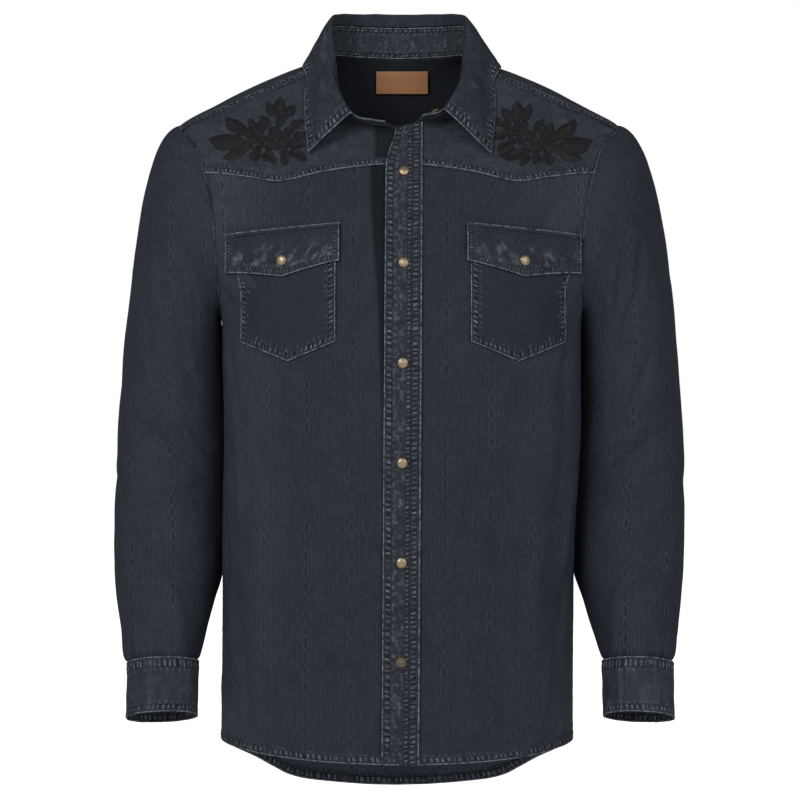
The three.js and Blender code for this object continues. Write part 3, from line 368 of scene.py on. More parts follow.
class BodyForm:
    """The outer surface of the body, by degrees round from the centre front and by height."""

    @staticmethod
    def reach(y: Array, z: Array) -> Array:
        """Depth of the front where y is below 0, else of the back."""
        return np.where(y < 0, BODY.read("front", z), BODY.read("back", z))

    def point(self, angle: Array, z: Array) -> Array:
        """Points of the surface.

        Args:
            angle: Radians round from the centre front, towards the wearer's left.
            z: Heights.

        Returns:
            Points, one for each pair.
        """
        angle, z = np.broadcast_arrays(np.asarray(angle, float), np.asarray(z, float))
        reach = self.reach(-np.cos(angle), z)
        power = BODY.read("power", z)
        across = np.abs(np.sin(angle)) / BODY.read("half", z)
        deep = np.abs(np.cos(angle)) / reach
        radius = (across**power + deep**power) ** (-1 / power)
        degrees = np.degrees(angle)
        for f in BODY_FOLDS:
            turn = (degrees - f.at - f.slope * (z - f.z) + 540) % 360 - 180
            radius = radius + f.depth * bump(turn, f.wide) * bump(z - f.z, f.tall)
        x = BODY.read("middle", z) + radius * np.sin(angle)
        return np.stack([x, -radius * np.cos(angle), z], -1)

    def normal(self, angle: Array, z: Array) -> Array:
        """Outward directions of the surface."""
        a = self.point(angle + 0.004, z) - self.point(angle - 0.004, z)
        b = self.point(angle, z + 0.5) - self.point(angle, z - 0.5)
        return unit(np.cross(a, b))

    def angle_at(self, x: Array, z: Array, back: bool = False) -> Array:
        """The angle of the point that shows at x and z from the front, or from the back."""
        x, z = np.broadcast_arrays(np.asarray(x, float), np.asarray(z, float))
        power = BODY.read("power", z)
        off = x - BODY.read("middle", z)
        share = np.minimum(np.abs(off) / BODY.read("half", z), 1)
        deep = BODY.read("back" if back else "front", z) * (1 - share**power) ** (1 / power)
        angle = np.arctan2(off, -deep if back else deep)
        return np.where(angle < 0, angle + 2 * math.pi, angle) if back else angle

    def armhole(self, degrees: Array, side: int) -> Places:
        """The place of the armhole's seam, by degrees round from the underarm over the front."""
        turn = np.radians(np.asarray(degrees, float))
        y = -SIZES.armhole_reach * np.sin(turn) * (1 + SIZES.armhole_egg * np.cos(turn))
        z = SIZES.armhole_z - SIZES.armhole_tall * np.cos(turn)
        power = BODY.read("power", z)
        reach = self.reach(y, z)
        x = BODY.read("half", z) * (1 - (np.abs(y) / reach) ** power) ** (1 / power)
        return side * np.arctan2(x, -y), z

    def arm_degrees(self, z: Array, top: float) -> Array:
        """Degrees round the front of the armhole at a height, up to top."""
        cosine = np.clip((SIZES.armhole_z - z) / SIZES.armhole_tall, -1, 1)
        return np.minimum(np.degrees(np.arccos(cosine)), top)

    def neck(self, degrees: Array) -> Places:
        """The place of the neck's seam, by degrees round from the centre front."""
        degrees = np.asarray(degrees, float)
        turn = np.where(degrees > 180, degrees - 360, degrees)
        left, right = NECK.read("left", np.abs(turn)), NECK.read("right", np.abs(turn))
        return np.radians(turn), np.where(turn < 0, right, left)

    def settled(self, points: Array) -> Places:
        """The places on the body of points near it, along lines from inside the shoulders."""
        core = np.stack([points[..., 0] * 0.85, points[..., 0] * 0, points[..., 0] * 0 - 170], -1)
        near, far = np.zeros(points.shape[:-1]), np.full(points.shape[:-1], 1.5)
        for _ in range(34):
            middle = (near + far) / 2
            p = core + (points - core) * middle[..., None]
            power = BODY.read("power", p[..., 2])
            reach = self.reach(p[..., 1], p[..., 2])
            inside = ((np.abs(p[..., 0]) / BODY.read("half", p[..., 2])) ** power
                      + (np.abs(p[..., 1]) / reach) ** power < 1)
            near, far = np.where(inside, middle, near), np.where(inside, far, middle)
        p = core + (points - core) * near[..., None]
        return np.arctan2(p[..., 0], -p[..., 1]), p[..., 2]


FORM = BodyForm()


def placket_centre(z: Array) -> Array:
    """x of the front strip's middle at a height."""
    return SIZES.placket_x + SIZES.placket_lean * (np.asarray(z) - SIZES.placket_mid_z)


def joint_x(z: Array) -> Array:
    """x of the line under the strip where the two fronts meet."""
    return placket_centre(z) + SIZES.joint


def yoke_seam(s: Array, side: int) -> Places:
    """The front yoke's seam from under the strip (0) to the armhole (1)."""
    arm_angle, arm_z = FORM.armhole(SIZES.front_yoke_arm, side)
    inner = FORM.angle_at(joint_x(-124.0), -124.0)
    x = side * FORM.point(inner + (arm_angle - inner) * np.asarray(s), -132.0)[..., 0]
    outer = side * float(FORM.point(arm_angle, -132.0)[0])
    z = FRONT_YOKE.read("z", x) + (arm_z - FRONT_YOKE.read("z", outer)) * s
    start = FORM.angle_at(joint_x(z), z)
    return start + (arm_angle - start) * s, z


def shoulder_seam(t: Array, side: int) -> Places:
    """The shoulder's seam from the neck (0) to the armhole (1)."""
    a0, z0 = FORM.neck(SIZES.neck_corner)
    a1, z1 = FORM.armhole(SIZES.shoulder_arm, side)
    return side * a0 + (a1 - side * a0) * t, z0 + (z1 - z0) * t


def back_yoke_seam(s: Array) -> Places:
    """The seam under the back yoke, from the wearer's left armhole to the right one."""
    arm_angle, end_z = FORM.armhole(SIZES.back_yoke_arm, 1)
    end_x = float(FORM.point(arm_angle, end_z)[0])
    x = end_x - 2 * end_x * np.asarray(s, float)
    drop = end_z - BACK_YOKE.read("z", end_x)
    z = BACK_YOKE.read("z", np.abs(x)) + drop * np.abs(x) / end_x
    return FORM.angle_at(x, z, True), z


def patch(s: Array, t: Array, bottom: Edge, top: Edge, left: Edge, right: Edge) -> Places:
    """A patch between four edges, settled on the body.

    Args:
        s: Shares across, one for each column.
        t: Shares up, one for each row.
        bottom: The lower edge as points, by share across.
        top: The upper edge.
        left: The edge at share 0, by share up.
        right: The edge at share 1.

    Returns:
        Angles and heights, a row for each t.
    """
    ss, tt = s[None, :, None], t[:, None, None]
    b, u, l, r = bottom(s)[None], top(s)[None], left(t)[:, None], right(t)[:, None]
    p = b * (1 - tt) + u * tt + l * (1 - ss) + r * ss
    p = p - b[:, :1] * (1 - ss) * (1 - tt) - b[:, -1:] * ss * (1 - tt)
    p = p - u[:, :1] * (1 - ss) * tt - u[:, -1:] * ss * tt
    angle, z = FORM.settled(p)
    rim = np.zeros(angle.shape, bool)
    rim[0] = rim[-1] = rim[:, 0] = rim[:, -1] = True
    return np.where(rim, np.arctan2(p[..., 0], -p[..., 1]), angle), np.where(rim, p[..., 2], z)


class SleeveForm:
    """The outer surface of a sleeve and of its cuff.

    Args:
        side: +1 for the wearer's left arm, -1 for the right.
    """

    def __init__(self, side: int) -> None:
        self.side = side
        self.cuff = CuffSizes()

    @staticmethod
    def ring(out_x: Array, out_z: Array, in_x: Array, in_z: Array, deep: Array, y: Array,
             tilt: Array, degrees: Array, out: Array = 0.0) -> Array:
        """Points of a ring given by its outer and inner ends, half its depth, y and tilt."""
        turn, lean = np.radians(degrees), np.radians(tilt)
        wide = np.hypot(out_x - in_x, out_z - in_z) / 2
        ax, az = (out_x - in_x) / (2 * wide), (out_z - in_z) / (2 * wide)
        c, s = -(wide + out) * np.cos(turn), (deep + out) * np.sin(turn)
        x = (out_x + in_x) / 2 + ax * c
        z = (out_z + in_z) / 2 + az * c + np.sin(lean) * s
        return np.stack(np.broadcast_arrays(x, y - np.cos(lean) * s, z), -1)

    def point(self, degrees: Array, ring: Array) -> Array:
        """Points by degrees round from the underarm over the front, and by place along."""
        degrees, ring = np.broadcast_arrays(np.asarray(degrees, float), np.asarray(ring, float))
        row = {key: SLEEVE.read(key, ring) for key in SLEEVE.columns}
        more = row["left"] if self.side > 0 else 0 * ring
        beside, free = self.side * BODY.read("middle", row["in_z"]), np.clip(ring - 12, 0, 1)
        out_x, in_x = row["out_x"] + more, row["in_x"] + beside + (more - beside) * free
        p = self.ring(out_x, row["out_z"], in_x, row["in_z"], row["deep"], row["y"],
                      row["tilt"], degrees)
        middle = np.stack([(out_x + in_x) / 2, row["y"], (row["out_z"] + row["in_z"]) / 2], -1)
        fold = 0 * ring
        for f in SLEEVE_FOLDS:
            turn = (degrees - f.at + 540) % 360 - 180
            fold = fold + f.depth * bump(turn, f.wide) * bump(ring - f.z, f.tall)
        p = p + unit(p - middle) * fold[..., None]
        share = np.clip(row["seam"], 0, 1)
        seam = FORM.point(*FORM.armhole(degrees % 360, self.side))
        push = 36 * (1 - share) * (0.04 + 0.48 * (1 - np.cos(np.radians(degrees))))
        seam[..., 0] = self.side * seam[..., 0] + 0.3 + push
        share = np.where(ring < 1e-6, 1, np.where(ring < 5, share, 0))
        p = p + (seam - p) * share[..., None]
        p[..., 0] *= self.side
        return p

    def cuff_point(self, degrees: Array, share: Array, out: Array) -> Array:
        """Points of the cuff, by degrees round and by share from its top to its end."""
        degrees, share, out = np.broadcast_arrays(degrees, share, out)
        top, end = np.array(self.cuff.top), np.array(self.cuff.end)
        ox, oz, ix, iz, y = [top[k] + (end[k] - top[k]) * share for k in range(5)]
        more = self.cuff.left if self.side > 0 else 0
        p = self.ring(ox + more, oz, ix + more, iz, self.cuff.deep, y, self.cuff.tilt, degrees,
                      out)
        p[..., 0] *= self.side
        return p


class CollarForm:
    """The stand and the leaf of the collar."""

    def __init__(self) -> None:
        self.sizes = StandSizes()

    def stand_frame(self, degrees: Array) -> Tuple[Array, Array, Array, Array, Array]:
        """The foot, outward, upward and facing directions and height of the stand."""
        degrees = np.asarray(degrees, float)
        turn = np.where(degrees > 180, 360 - degrees, degrees)
        tilt = np.radians(STAND.read("tilt", turn))[..., None]
        foot = FORM.point(*FORM.neck(degrees))
        along = FORM.point(*FORM.neck(degrees - 4)) - FORM.point(*FORM.neck(degrees + 4))
        along[..., 2] = 0
        down = np.zeros_like(foot)
        down[..., 2] = -1
        out = np.cross(unit(along), down)
        up = -down * np.cos(tilt) + out * np.sin(tilt)
        facing = out * np.cos(tilt) + down * np.sin(tilt)
        return foot, out, up, facing, STAND.read("high", turn)

    def stand_point(self, degrees: Array, t: Array) -> Array:
        """Points of the stand's outer face, by degrees and share of its height."""
        foot, _, up, _, high = self.stand_frame(degrees)
        return foot + up * (self.sizes.gap * 0.3 + np.asarray(t) * (high + 0.8))[..., None]

    def leaf_point(self, station: Array, t: Array) -> Array:
        """Points of the leaf's outer face, from its left front edge (0) to its right (14)."""
        station, t = np.broadcast_arrays(np.asarray(station, float), np.asarray(t, float))
        past = station > 7
        place = np.where(past, 14 - station, station)
        row = {key: LEAF.read(key, place) for key in LEAF.columns}
        at = np.where(past, 360 - row["at"], row["at"])
        foot, out, up, facing, high = self.stand_frame(at)
        start = foot + up * (high + self.sizes.gap + self.sizes.leaf_gap - 1.4)[..., None]
        start = start - facing * SIZES.folded
        angle = np.radians(np.where(past, -row["edge"], row["edge"]))
        edge_z = row["edge_z"] + past * self.sizes.leaf_right * np.sin(angle) ** 2
        edge = FORM.point(angle, edge_z) + FORM.normal(angle, edge_z) * row["lift"][..., None]
        rolled = start + up * (1.9 * row["rise"] + 0.6)[..., None]
        over = rolled + out * (2 * row["reach"])[..., None]
        t = t[..., None]
        return (start * (1 - t) ** 3 + rolled * 3 * t * (1 - t) ** 2
                + over * 3 * t**2 * (1 - t) + edge * t**3)
# ---- Meshes ------------------------------------------------------------------------------------


class Body(Enum):
    """The frame's bodies."""

    ROOT = "root"


@dataclass
class Grid:
    """A grid of cloth: places, outward directions and places along the grain.

    Attributes:
        points: Points, rows by columns.
        normals: Outward directions of the same shape.
        u: Distance across the grain.
        v: Distance along the grain.
        marks: Named numbers for each point, read by the finishes.
        seam: Distance along the nearest stitched edge and from it, if there is one.
        wrapped: Whether its columns close on themselves.
    """

    points: Array
    normals: Array
    u: Array
    v: Array
    marks: Dict[str, Array] = field(default_factory=dict)
    seam: Optional[Places] = None
    wrapped: bool = False

    @property
    def shape(self) -> Tuple[int, int]:
        """Rows and columns."""
        return self.points.shape[:2]

    def raise_by(self, height: Array) -> None:
        """Moves the points out along their directions."""
        self.points = self.points + self.normals * np.asarray(height)[..., None]

    def add_creases(self, creases: Sequence[Crease], deeper: float = 1.0) -> None:
        """Moves the points by creases laid along the grain, deeper than given if asked."""
        height = np.zeros(self.shape)
        for c in creases:
            turn = math.radians(c.turn)
            du, dv = self.u - c.u, self.v - c.v
            run = du * math.cos(turn) + dv * math.sin(turn)
            off = -du * math.sin(turn) + dv * math.cos(turn)
            share = np.clip(run / (c.length / 2), -1, 1)
            off = off - c.bow * (1 - share**2)
            taper = (1 - share**2) * (np.abs(run) < c.length / 2)
            width = c.wide * (0.65 + 0.35 * (1 - share * 0.6) + 0.12 * np.sin(run * 0.05 + c.u))
            height += deeper * c.depth * taper * bump(off, width)
        self.raise_by(height)

    def follow(self, measure: Array, row: int, rows: Sequence[int], part: Array) -> None:
        """Lays the grain of some rows where one row has it, at the same measure.

        Args:
            measure: What is compared, over the whole grid.
            row: The row that is followed.
            rows: The rows that follow.
            part: How far each column follows.
        """
        front = self.points[row, :, 1] < self.points[row, :, 1].mean()
        for half in (front, ~front):
            order = np.argsort(measure[row, half])
            near, place = measure[row, half][order], self.u[row, half][order]
            for r in rows:
                moved = np.interp(measure[r, half], near, place)
                self.u[r, half] += (moved - self.u[r, half]) * part[half]


def facing(points: Array) -> Array:
    """Directions square to a grid of points."""
    return unit(np.cross(np.gradient(points, axis=1), np.gradient(points, axis=0)))


def away_from(middle: Array, points: Array, normals: Array) -> Array:
    """Directions, turned round if most of them face a place within."""
    return normals * np.sign(np.einsum("rck,rck->", normals, points - middle))


def run_of(line: Array) -> Array:
    """Distances along a line from its first point."""
    return np.concatenate([[0], np.cumsum(np.linalg.norm(np.diff(line, axis=0), axis=-1))])


def lengths(points: Array, axis: int) -> Array:
    """Distances along the rows (axis 1) or columns (axis 0) of a grid from its first point."""
    total = np.cumsum(np.linalg.norm(np.diff(points, axis=axis), axis=-1), axis=axis)
    return np.concatenate([np.zeros_like(np.take(total, [0], axis=axis)), total], axis=axis)


def spans(points: Array) -> Tuple[Array, Array, Array, Array]:
    """Distances over a grid from its left, lower, right and upper edge."""
    run, rise = lengths(points, 1), lengths(points, 0)
    return run, rise, run[:, -1:] - run, rise[-1:] - rise


def arm_edge(start: float, side: int) -> Edge:
    """The edge of a yoke along the armhole, from some degrees up to the shoulder's seam."""
    return lambda q: FORM.point(*FORM.armhole(start + (SIZES.shoulder_arm - start) * q, side))


def add_object(name: str, data: Any) -> bpy.types.Object:
    """A new object, linked to the scene."""
    obj = bpy.data.objects.new(name, data)
    bpy.context.scene.collection.objects.link(obj)
    return obj


def make_mesh(name: str, points: Array, faces: Array, material: bpy.types.Material,
              uv: Array, marks: Optional[Dict[str, Array]] = None,
              seam: Optional[Array] = None) -> bpy.types.Object:
    """Makes an object of a mesh in metres.

    Args:
        name: The object's name.
        points: Points in millimetres.
        faces: Rows of point numbers.
        material: Its finish.
        uv: A pair in millimetres for each point, along the grain.
        marks: Named numbers for each point.
        seam: A pair in millimetres for each point, along and from a stitched edge.

    Returns:
        The object, linked to the scene.
    """
    mesh = bpy.data.meshes.new(name)
    mesh.from_pydata((points.reshape(-1, 3) * MM).tolist(), [], faces.tolist())
    loops = np.empty(len(mesh.loops), np.int32)
    mesh.loops.foreach_get("vertex_index", loops)
    for key, pairs in (("grain", uv), ("seam", seam)):
        if pairs is not None:
            pairs = pairs.reshape(-1, 2)[loops] * MM
            mesh.uv_layers.new(name=key).data.foreach_set("uv", pairs.astype(np.float32).ravel())
    for key, value in (marks or {}).items():
        attribute = mesh.attributes.new(key, "FLOAT", "POINT")
        attribute.data.foreach_set("value", np.asarray(value, np.float32).ravel())
    mesh.materials.append(material)
    mesh.polygons.foreach_set("use_smooth", [True] * len(mesh.polygons))
    mesh.update()
    return add_object(name, mesh)


def grid_faces(rows: int, columns: int, wrapped: bool = False) -> Array:
    """Quads of a grid, counter-clockwise when columns run right and rows run up."""
    r, c = np.meshgrid(np.arange(rows - 1), np.arange(columns - (not wrapped)), indexing="ij")
    d = (c + 1) % columns
    quads = np.stack([r * columns + c, r * columns + d, (r + 1) * columns + d,
                      (r + 1) * columns + c], -1)
    return quads.reshape(-1, 4)


def apply_modifiers(obj: bpy.types.Object) -> bpy.types.Object:
    """Puts the result of an object's modifiers into its mesh and removes them."""
    graph = bpy.context.evaluated_depsgraph_get()
    done = bpy.data.meshes.new_from_object(obj.evaluated_get(graph),
                                           preserve_all_data_layers=True, depsgraph=graph)
    obj.modifiers.clear()
    obj.data = done
    return obj


def stitched(d: Array, run: Array, rows: Pair, period: float = PUCKER) -> Places:
    """Places measured so that the two rows of stitches always lie at the same distances.

    Args:
        d: Distance from the edge.
        run: Distance along the edge.
        rows: Distances of the two rows from the edge.
        period: Distance from pucker to pucker.

    Returns:
        Distance along the edge and from it, in the measure that the finishes read.
    """
    first, second = SEAM_ROWS
    even = np.interp(d, (-10, 0, 1.2, rows[0], rows[1], rows[1] + 60),
                     (-10, 0, 1.2, first, second, second + 60))
    return run * PUCKER / period + 0 * even, even


def cloth_from(name: str, grid: Grid, material: bpy.types.Material, thick: float
               ) -> bpy.types.Object:
    """A closed shell of cloth under a grid's outer face.

    Args:
        name: The object's name.
        grid: Its outer face.
        material: Its finish.
        thick: Its thickness, inwards.

    Returns:
        The object.
    """
    count = grid.u.size
    points = np.concatenate([face.reshape(-1, 3) for face in (
        grid.points, grid.points - grid.normals * thick)])
    place = np.arange(count).reshape(grid.shape)
    rims = [place[0], place[-1][::-1]]
    if grid.wrapped:
        rims = [np.append(rim, rim[0]) for rim in rims]
    else:
        rims += [place[::-1, 0], place[:, -1]]
    quads = grid_faces(*grid.shape, grid.wrapped)
    faces = np.concatenate([quads, quads[:, ::-1] + count] + [
        np.stack([rim[:-1] + count, rim[1:] + count, rim[1:], rim[:-1]], -1) for rim in rims])
    a, b, c, d = (points[faces[:, k]] for k in range(4))
    if np.einsum("ij,ij->", a, np.cross(b, c) + np.cross(c, d)) < 0:
        faces = faces[:, ::-1]
    marks = {key: np.tile(m.ravel(), 2) for key, m in grid.marks.items()}
    inside = np.repeat([0.0, 1.0], count)
    # Painted light: where the grid marks it, the inside face loses its darker wrong side and is painted
    # lighter.
    lining = inside * marks.pop("lining", 0.0)
    marks["inside"] = inside - lining
    marks["pale"] = marks.get("pale", 0.0) + 1.1 * lining
    seam = grid.seam or (np.full(count, NO_SEAM), np.full(count, NO_SEAM))
    uv, seam = (np.tile(np.stack([one.ravel(), two.ravel()], -1), (2, 1))
                for one, two in ((grid.u, grid.v), seam))
    return make_mesh(name, points, faces, material, uv, marks, seam)


def ride(obj: bpy.types.Object, slot: str, *nodes: str) -> bpy.types.Object:
    """Sets a piece on the frame's body, and hides the nodes that it stands for."""
    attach(obj, Body.ROOT.value)
    if nodes:
        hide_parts(*nodes)
    return obj


# ---- Finishes ----------------------------------------------------------------------------------


@dataclass(frozen=True)
class ClothFinish:
    """A finish of washed cotton.

    Attributes:
        name: The material's name.
        colour: Its colour, linear.
        worn: The colour of its worn ridges.
        stripes: How strongly the fine stripes show.
        chains: How strongly the chains of diamonds show.
        slant: Turn of the grain in degrees.
        rough: Roughness.
        mottle: How cloudy its wash is.
        rope: How strongly its stitched edges are puckered and worn.
        reverse: How much of its colour is left on its wrong side.
        slot: The slot that it belongs to.
    """

    name: str
    colour: Colour
    worn: Colour = (0.16, 0.18, 0.21)
    stripes: float = 0.0
    chains: float = 0.0
    slant: float = 0.0
    rough: float = 0.86
    mottle: float = 0.28
    rope: float = 1.0
    reverse: float = 0.6
    slot: str = "plain_cloth"


@dataclass(frozen=True)
class PlainFinish:
    """A finish of one colour: metal, thread or leather.

    Attributes:
        name: The material's name.
        colour: Its colour, linear.
        metallic: How metallic it is.
        rough: Roughness.
        spots: How spotted it is.
        scale: How many spots to a metre.
        strands: Whether it lies in strands across its grain.
    """

    name: str
    colour: Colour
    metallic: float
    rough: float
    spots: float
    scale: float = 900.0
    strands: bool = False


class Value:
    """A number that a node gives, and the sums and products that are made with it.

    Args:
        nodes: The calls that build its tree.
        socket: The node's output.
    """

    def __init__(self, nodes: "Nodes", socket: bpy.types.NodeSocket) -> None:
        self.nodes, self.socket = nodes, socket

    def __add__(self, other: "Term") -> "Value":
        """The sum."""
        return self.nodes.math("ADD", self, other)

    def __sub__(self, other: "Term") -> "Value":
        """The difference."""
        return self.nodes.math("SUBTRACT", self, other)

    def __rsub__(self, other: "Term") -> "Value":
        """The difference, counted the other way."""
        return self.nodes.math("SUBTRACT", other, self)

    def __mul__(self, other: "Term") -> "Value":
        """The product."""
        return self.nodes.math("MULTIPLY", self, other)

    def __pow__(self, other: "Term") -> "Value":
        """The power."""
        return self.nodes.math("POWER", self, other)

    def __mod__(self, other: "Term") -> "Value":
        """The rest of a division."""
        return self.nodes.math("MODULO", self, other)

    def __abs__(self) -> "Value":
        """The size without its sign."""
        return self.nodes.math("ABSOLUTE", self)

    __radd__, __rmul__ = __add__, __mul__


Term = Union[Value, float]


class Nodes:
    """Short calls for building a node tree.

    Args:
        tree: The tree.
    """

    def __init__(self, tree: bpy.types.NodeTree) -> None:
        self.tree = tree

    def add(self, kind: str, inputs: Optional[Dict[Any, Any]] = None, **settings: Any
            ) -> bpy.types.Node:
        """Adds a node with its settings, and joins or sets its inputs.

        Args:
            kind: The node's type.
            inputs: A socket, value or number for an input's name or place.
            **settings: What is set on the node first.

        Returns:
            The node.
        """
        node = self.tree.nodes.new(kind)
        for key, value in settings.items():
            setattr(node, key, value)
        for key, value in (inputs or {}).items():
            self.join(value, node.inputs[key])
        return node

    def value(self, kind: str, inputs: Optional[Dict[Any, Any]] = None, output: Any = 0,
              **settings: Any) -> Value:
        """One output of a new node."""
        return Value(self, self.add(kind, inputs, **settings).outputs[output])

    def math(self, operation: str, *terms: Term, clamp: bool = False) -> Value:
        """A maths node's result."""
        return self.value("ShaderNodeMath", dict(enumerate(terms)), operation=operation,
                          use_clamp=clamp)

    def step(self, value: Value, low: float, high: float) -> Value:
        """0 below low and 1 above high, or the other way if high is lower."""
        start, stop, a, b = (low, high, 0.0, 1.0) if high > low else (high, low, 1.0, 0.0)
        return self.value("ShaderNodeMapRange", {"Value": value, "From Min": start,
                          "From Max": stop, "To Min": a, "To Max": b}, clamp=True,
                          interpolation_type="SMOOTHSTEP")

    def mix(self, amount: Term, a: Any, b: Any, blend: str = "MIX") -> Value:
        """A blend of two colours."""
        a, b = ((*c, 1.0) if isinstance(c, tuple) else c for c in (a, b))
        return self.value("ShaderNodeMix", {0: amount, 6: a, 7: b}, 2, data_type="RGBA",
                          blend_type=blend)

    def noise(self, vector: Value, scale: float, detail: float = 2.0, rough: float = 0.55
              ) -> Value:
        """A noise's factor."""
        return self.value("ShaderNodeTexNoise", {"Vector": vector, "Scale": scale,
                          "Detail": detail, "Roughness": rough}, "Fac")

    def parts(self, vector: Value) -> Tuple[Value, Value]:
        """The first two parts of a vector."""
        outputs = self.add("ShaderNodeSeparateXYZ", {0: vector}).outputs
        return Value(self, outputs[0]), Value(self, outputs[1])

    def flat(self, x: Value, y: Value) -> Value:
        """A vector of two parts."""
        return self.value("ShaderNodeCombineXYZ", {0: x, 1: y})

    def mark(self, name: str) -> Value:
        """A named number of the mesh."""
        return self.value("ShaderNodeAttribute", output="Fac", attribute_name=name)

    def group(self, tree: bpy.types.NodeTree, **inputs: Any) -> Dict[str, Value]:
        """The outputs of a group, by name."""
        node = self.add("ShaderNodeGroup", node_tree=tree)
        for key, value in inputs.items():
            self.join(value, node.inputs[key])
        return {output.name: Value(self, output) for output in node.outputs}

    def join(self, value: Any, target: bpy.types.NodeSocket) -> None:
        """Joins a value or a socket to an input, or sets it if it is a number."""
        value = value.socket if isinstance(value, Value) else value
        if isinstance(value, bpy.types.NodeSocket):
            self.tree.links.new(value, target)
        else:
            target.default_value = value

    def bump(self, height: Value, strength: float, distance: float, **more: Value) -> Value:
        """A relief."""
        return self.value("ShaderNodeBump", {"Height": height, "Strength": strength,
                          "Distance": distance, **more})


def shader_group(name: str, numbers: Sequence[str],
                 build: Callable[[Nodes, Dict[str, Value]], Dict[str, Value]]
                 ) -> bpy.types.NodeTree:
    """A group of shader nodes that reads a vector and some numbers.

    Args:
        name: The group's name.
        numbers: The names of its numbers.
        build: What makes its nodes from its inputs, and gives its outputs by name.

    Returns:
        The group.
    """
    tree = bpy.data.node_groups.new(name, "ShaderNodeTree")
    tree.interface.new_socket("Vector", in_out="INPUT", socket_type="NodeSocketVector")
    for key in numbers:
        tree.interface.new_socket(key, in_out="INPUT", socket_type="NodeSocketFloat")
    n = Nodes(tree)
    start = n.add("NodeGroupInput")
    made = build(n, {key: Value(n, start.outputs[key]) for key in ("Vector", *numbers)})
    for key in made:
        tree.interface.new_socket(key, in_out="OUTPUT", socket_type="NodeSocketFloat")
    n.add("NodeGroupOutput", made)
    return tree


def weave(n: Nodes, given: Dict[str, Value]) -> Dict[str, Value]:
    """The woven pattern: fine stripes and chains of diamonds along the grain, in metres.

    Args:
        n: The group's nodes.
        given: Vector, Stripes and Chains.

    Returns:
        Light, Dark and Height.
    """
    x, y = n.parts(given["Vector"])
    fleck = n.noise(n.flat(x, y * 0.07), 900.0)
    drift = n.noise(given["Vector"], 26.0, 1.0)
    # The fine stripes are broken along their length.
    phase = x * (2 * math.pi / STRIPE_PITCH)
    broken = n.step(fleck + drift * 0.4, 0.55, 0.8)
    stripe = n.step(n.math("COSINE", phase), 0.5, 0.98) * (0.16 + broken) * given["Stripes"]
    groove = n.step(n.math("COSINE", phase + math.pi), 0.3, 1.0) * given["Stripes"]
    # The diamonds of the chains have a dark heart, and the chains come and go.
    far = 100.5 * CHAIN_PITCH
    across = abs((x + far) % CHAIN_PITCH - CHAIN_PITCH / 2)
    edge = abs(n.math("SINE", y * (math.pi / DIAMOND_LONG))) ** 0.8 * DIAMOND_HALF
    shown = n.step(drift, 0.36, 0.6)
    heart = n.step(edge - across, 0.0004, 0.0011) * (given["Chains"] * shown)
    hollow = n.step(across, 0.0052, 0.0038) * shown * given["Chains"]
    ridge = n.step(abs(across - edge), 0.0007, 0.00015) * hollow
    light = stripe * (1.0 - hollow * 0.75) + ridge * (0.7 + broken)
    dark = heart * 0.8 + groove * 0.35
    return {"Light": light, "Dark": dark, "Height": light - dark * 0.6}


def wash(n: Nodes, given: Dict[str, Value]) -> Dict[str, Value]:
    """The wash: cloudy fading, slubs, specks and worn ridges.

    Args:
        n: The group's nodes.
        given: Vector, Wear and Mottle.

    Returns:
        Shade, Fade and Grain.
    """
    place = given["Vector"]
    cloud, patchy = n.noise(place, 11.0, 3.0), n.noise(place, 60.0, 3.0, 0.6)
    fine = n.noise(place, 620.0, 3.0, 0.7)
    specks = n.step(n.noise(place, 230.0, 2.0, 0.6), 0.36, 0.66)
    total = ((cloud - 0.5) * 0.4 + (patchy - 0.5) * 0.6 + (fine - 0.5) * 1.5
             + (specks - 0.5) * 0.34)
    rub = n.step(n.noise(place, 210.0, 3.0, 0.65), 0.28, 0.68)
    return {"Shade": 1.0 + total * given["Mottle"],
            "Fade": n.math("MULTIPLY", given["Wear"], rub, clamp=True), "Grain": fine}


def stitched_edge(n: Nodes, given: Dict[str, Value]) -> Dict[str, Value]:
    """The puckers along a stitched edge: a beaded rim, two grooves and ridges between them.

    Args:
        n: The group's nodes.
        given: Vector, along and from the edge in metres, and Strength.

    Returns:
        Wear, Dark (painted shade in the grooves and troughs) and Height.
    """
    first, second = SEAM_ROWS
    x, y = n.parts(given["Vector"])
    d, flat = y * 1000.0, n.flat(x, y * 0.2)
    drift, swell = n.noise(flat, 105.0, 1.0), n.noise(flat, 48.0, 1.0)
    fleck, bead = n.noise(given["Vector"], 1100.0), n.noise(flat, 300.0, 1.0)
    phase = (x * 1000.0 + d * 0.22 + (drift - 0.5) * 9.0) * (2 * math.pi / PUCKER)
    ridge = n.math("SINE", phase)
    beyond = n.math("SINE", phase * 0.83 + 1.9)
    amount = 0.3 + n.step(swell, 0.34, 0.6) * 0.7
    band = (n.step(d, first + 0.1, first + 1.1) * n.step(d, second - 0.1, second - 1.1)
            * amount)
    after = (n.step(d, second + 0.3, second + 1.3) * n.step(d, second + 6.0, second + 1.5)
             * amount)
    rim = n.step(d, -0.2, 0.35) * n.step(d, 1.7, 0.9)
    groove = (n.step(abs(d - first), 0.85, 0.2) * 0.7 + n.step(abs(d - second), 0.95, 0.2))
    beads = 0.4 + n.step(bead, 0.36, 0.6) * 0.6
    crest = n.step(ridge, -0.1, 0.8) * (0.35 + fleck)
    wear = (rim * beads * 1.15 + band * crest * 0.62
            + n.step(beyond, 0.1, 0.9) * after * 0.26)
    # Painted shade in the two grooves and in the troughs between the puckers.
    dark = groove * 0.6 + band * n.step(ridge, 0.1, -0.85) * 0.6
    height = (rim * (0.35 + beads * 0.3) + band * (0.45 + ridge * 0.5) - groove * 0.3
              + after * (beyond * 0.3))
    made = {"Wear": wear, "Dark": dark, "Height": height}
    return {key: value * given["Strength"] for key, value in made.items()}


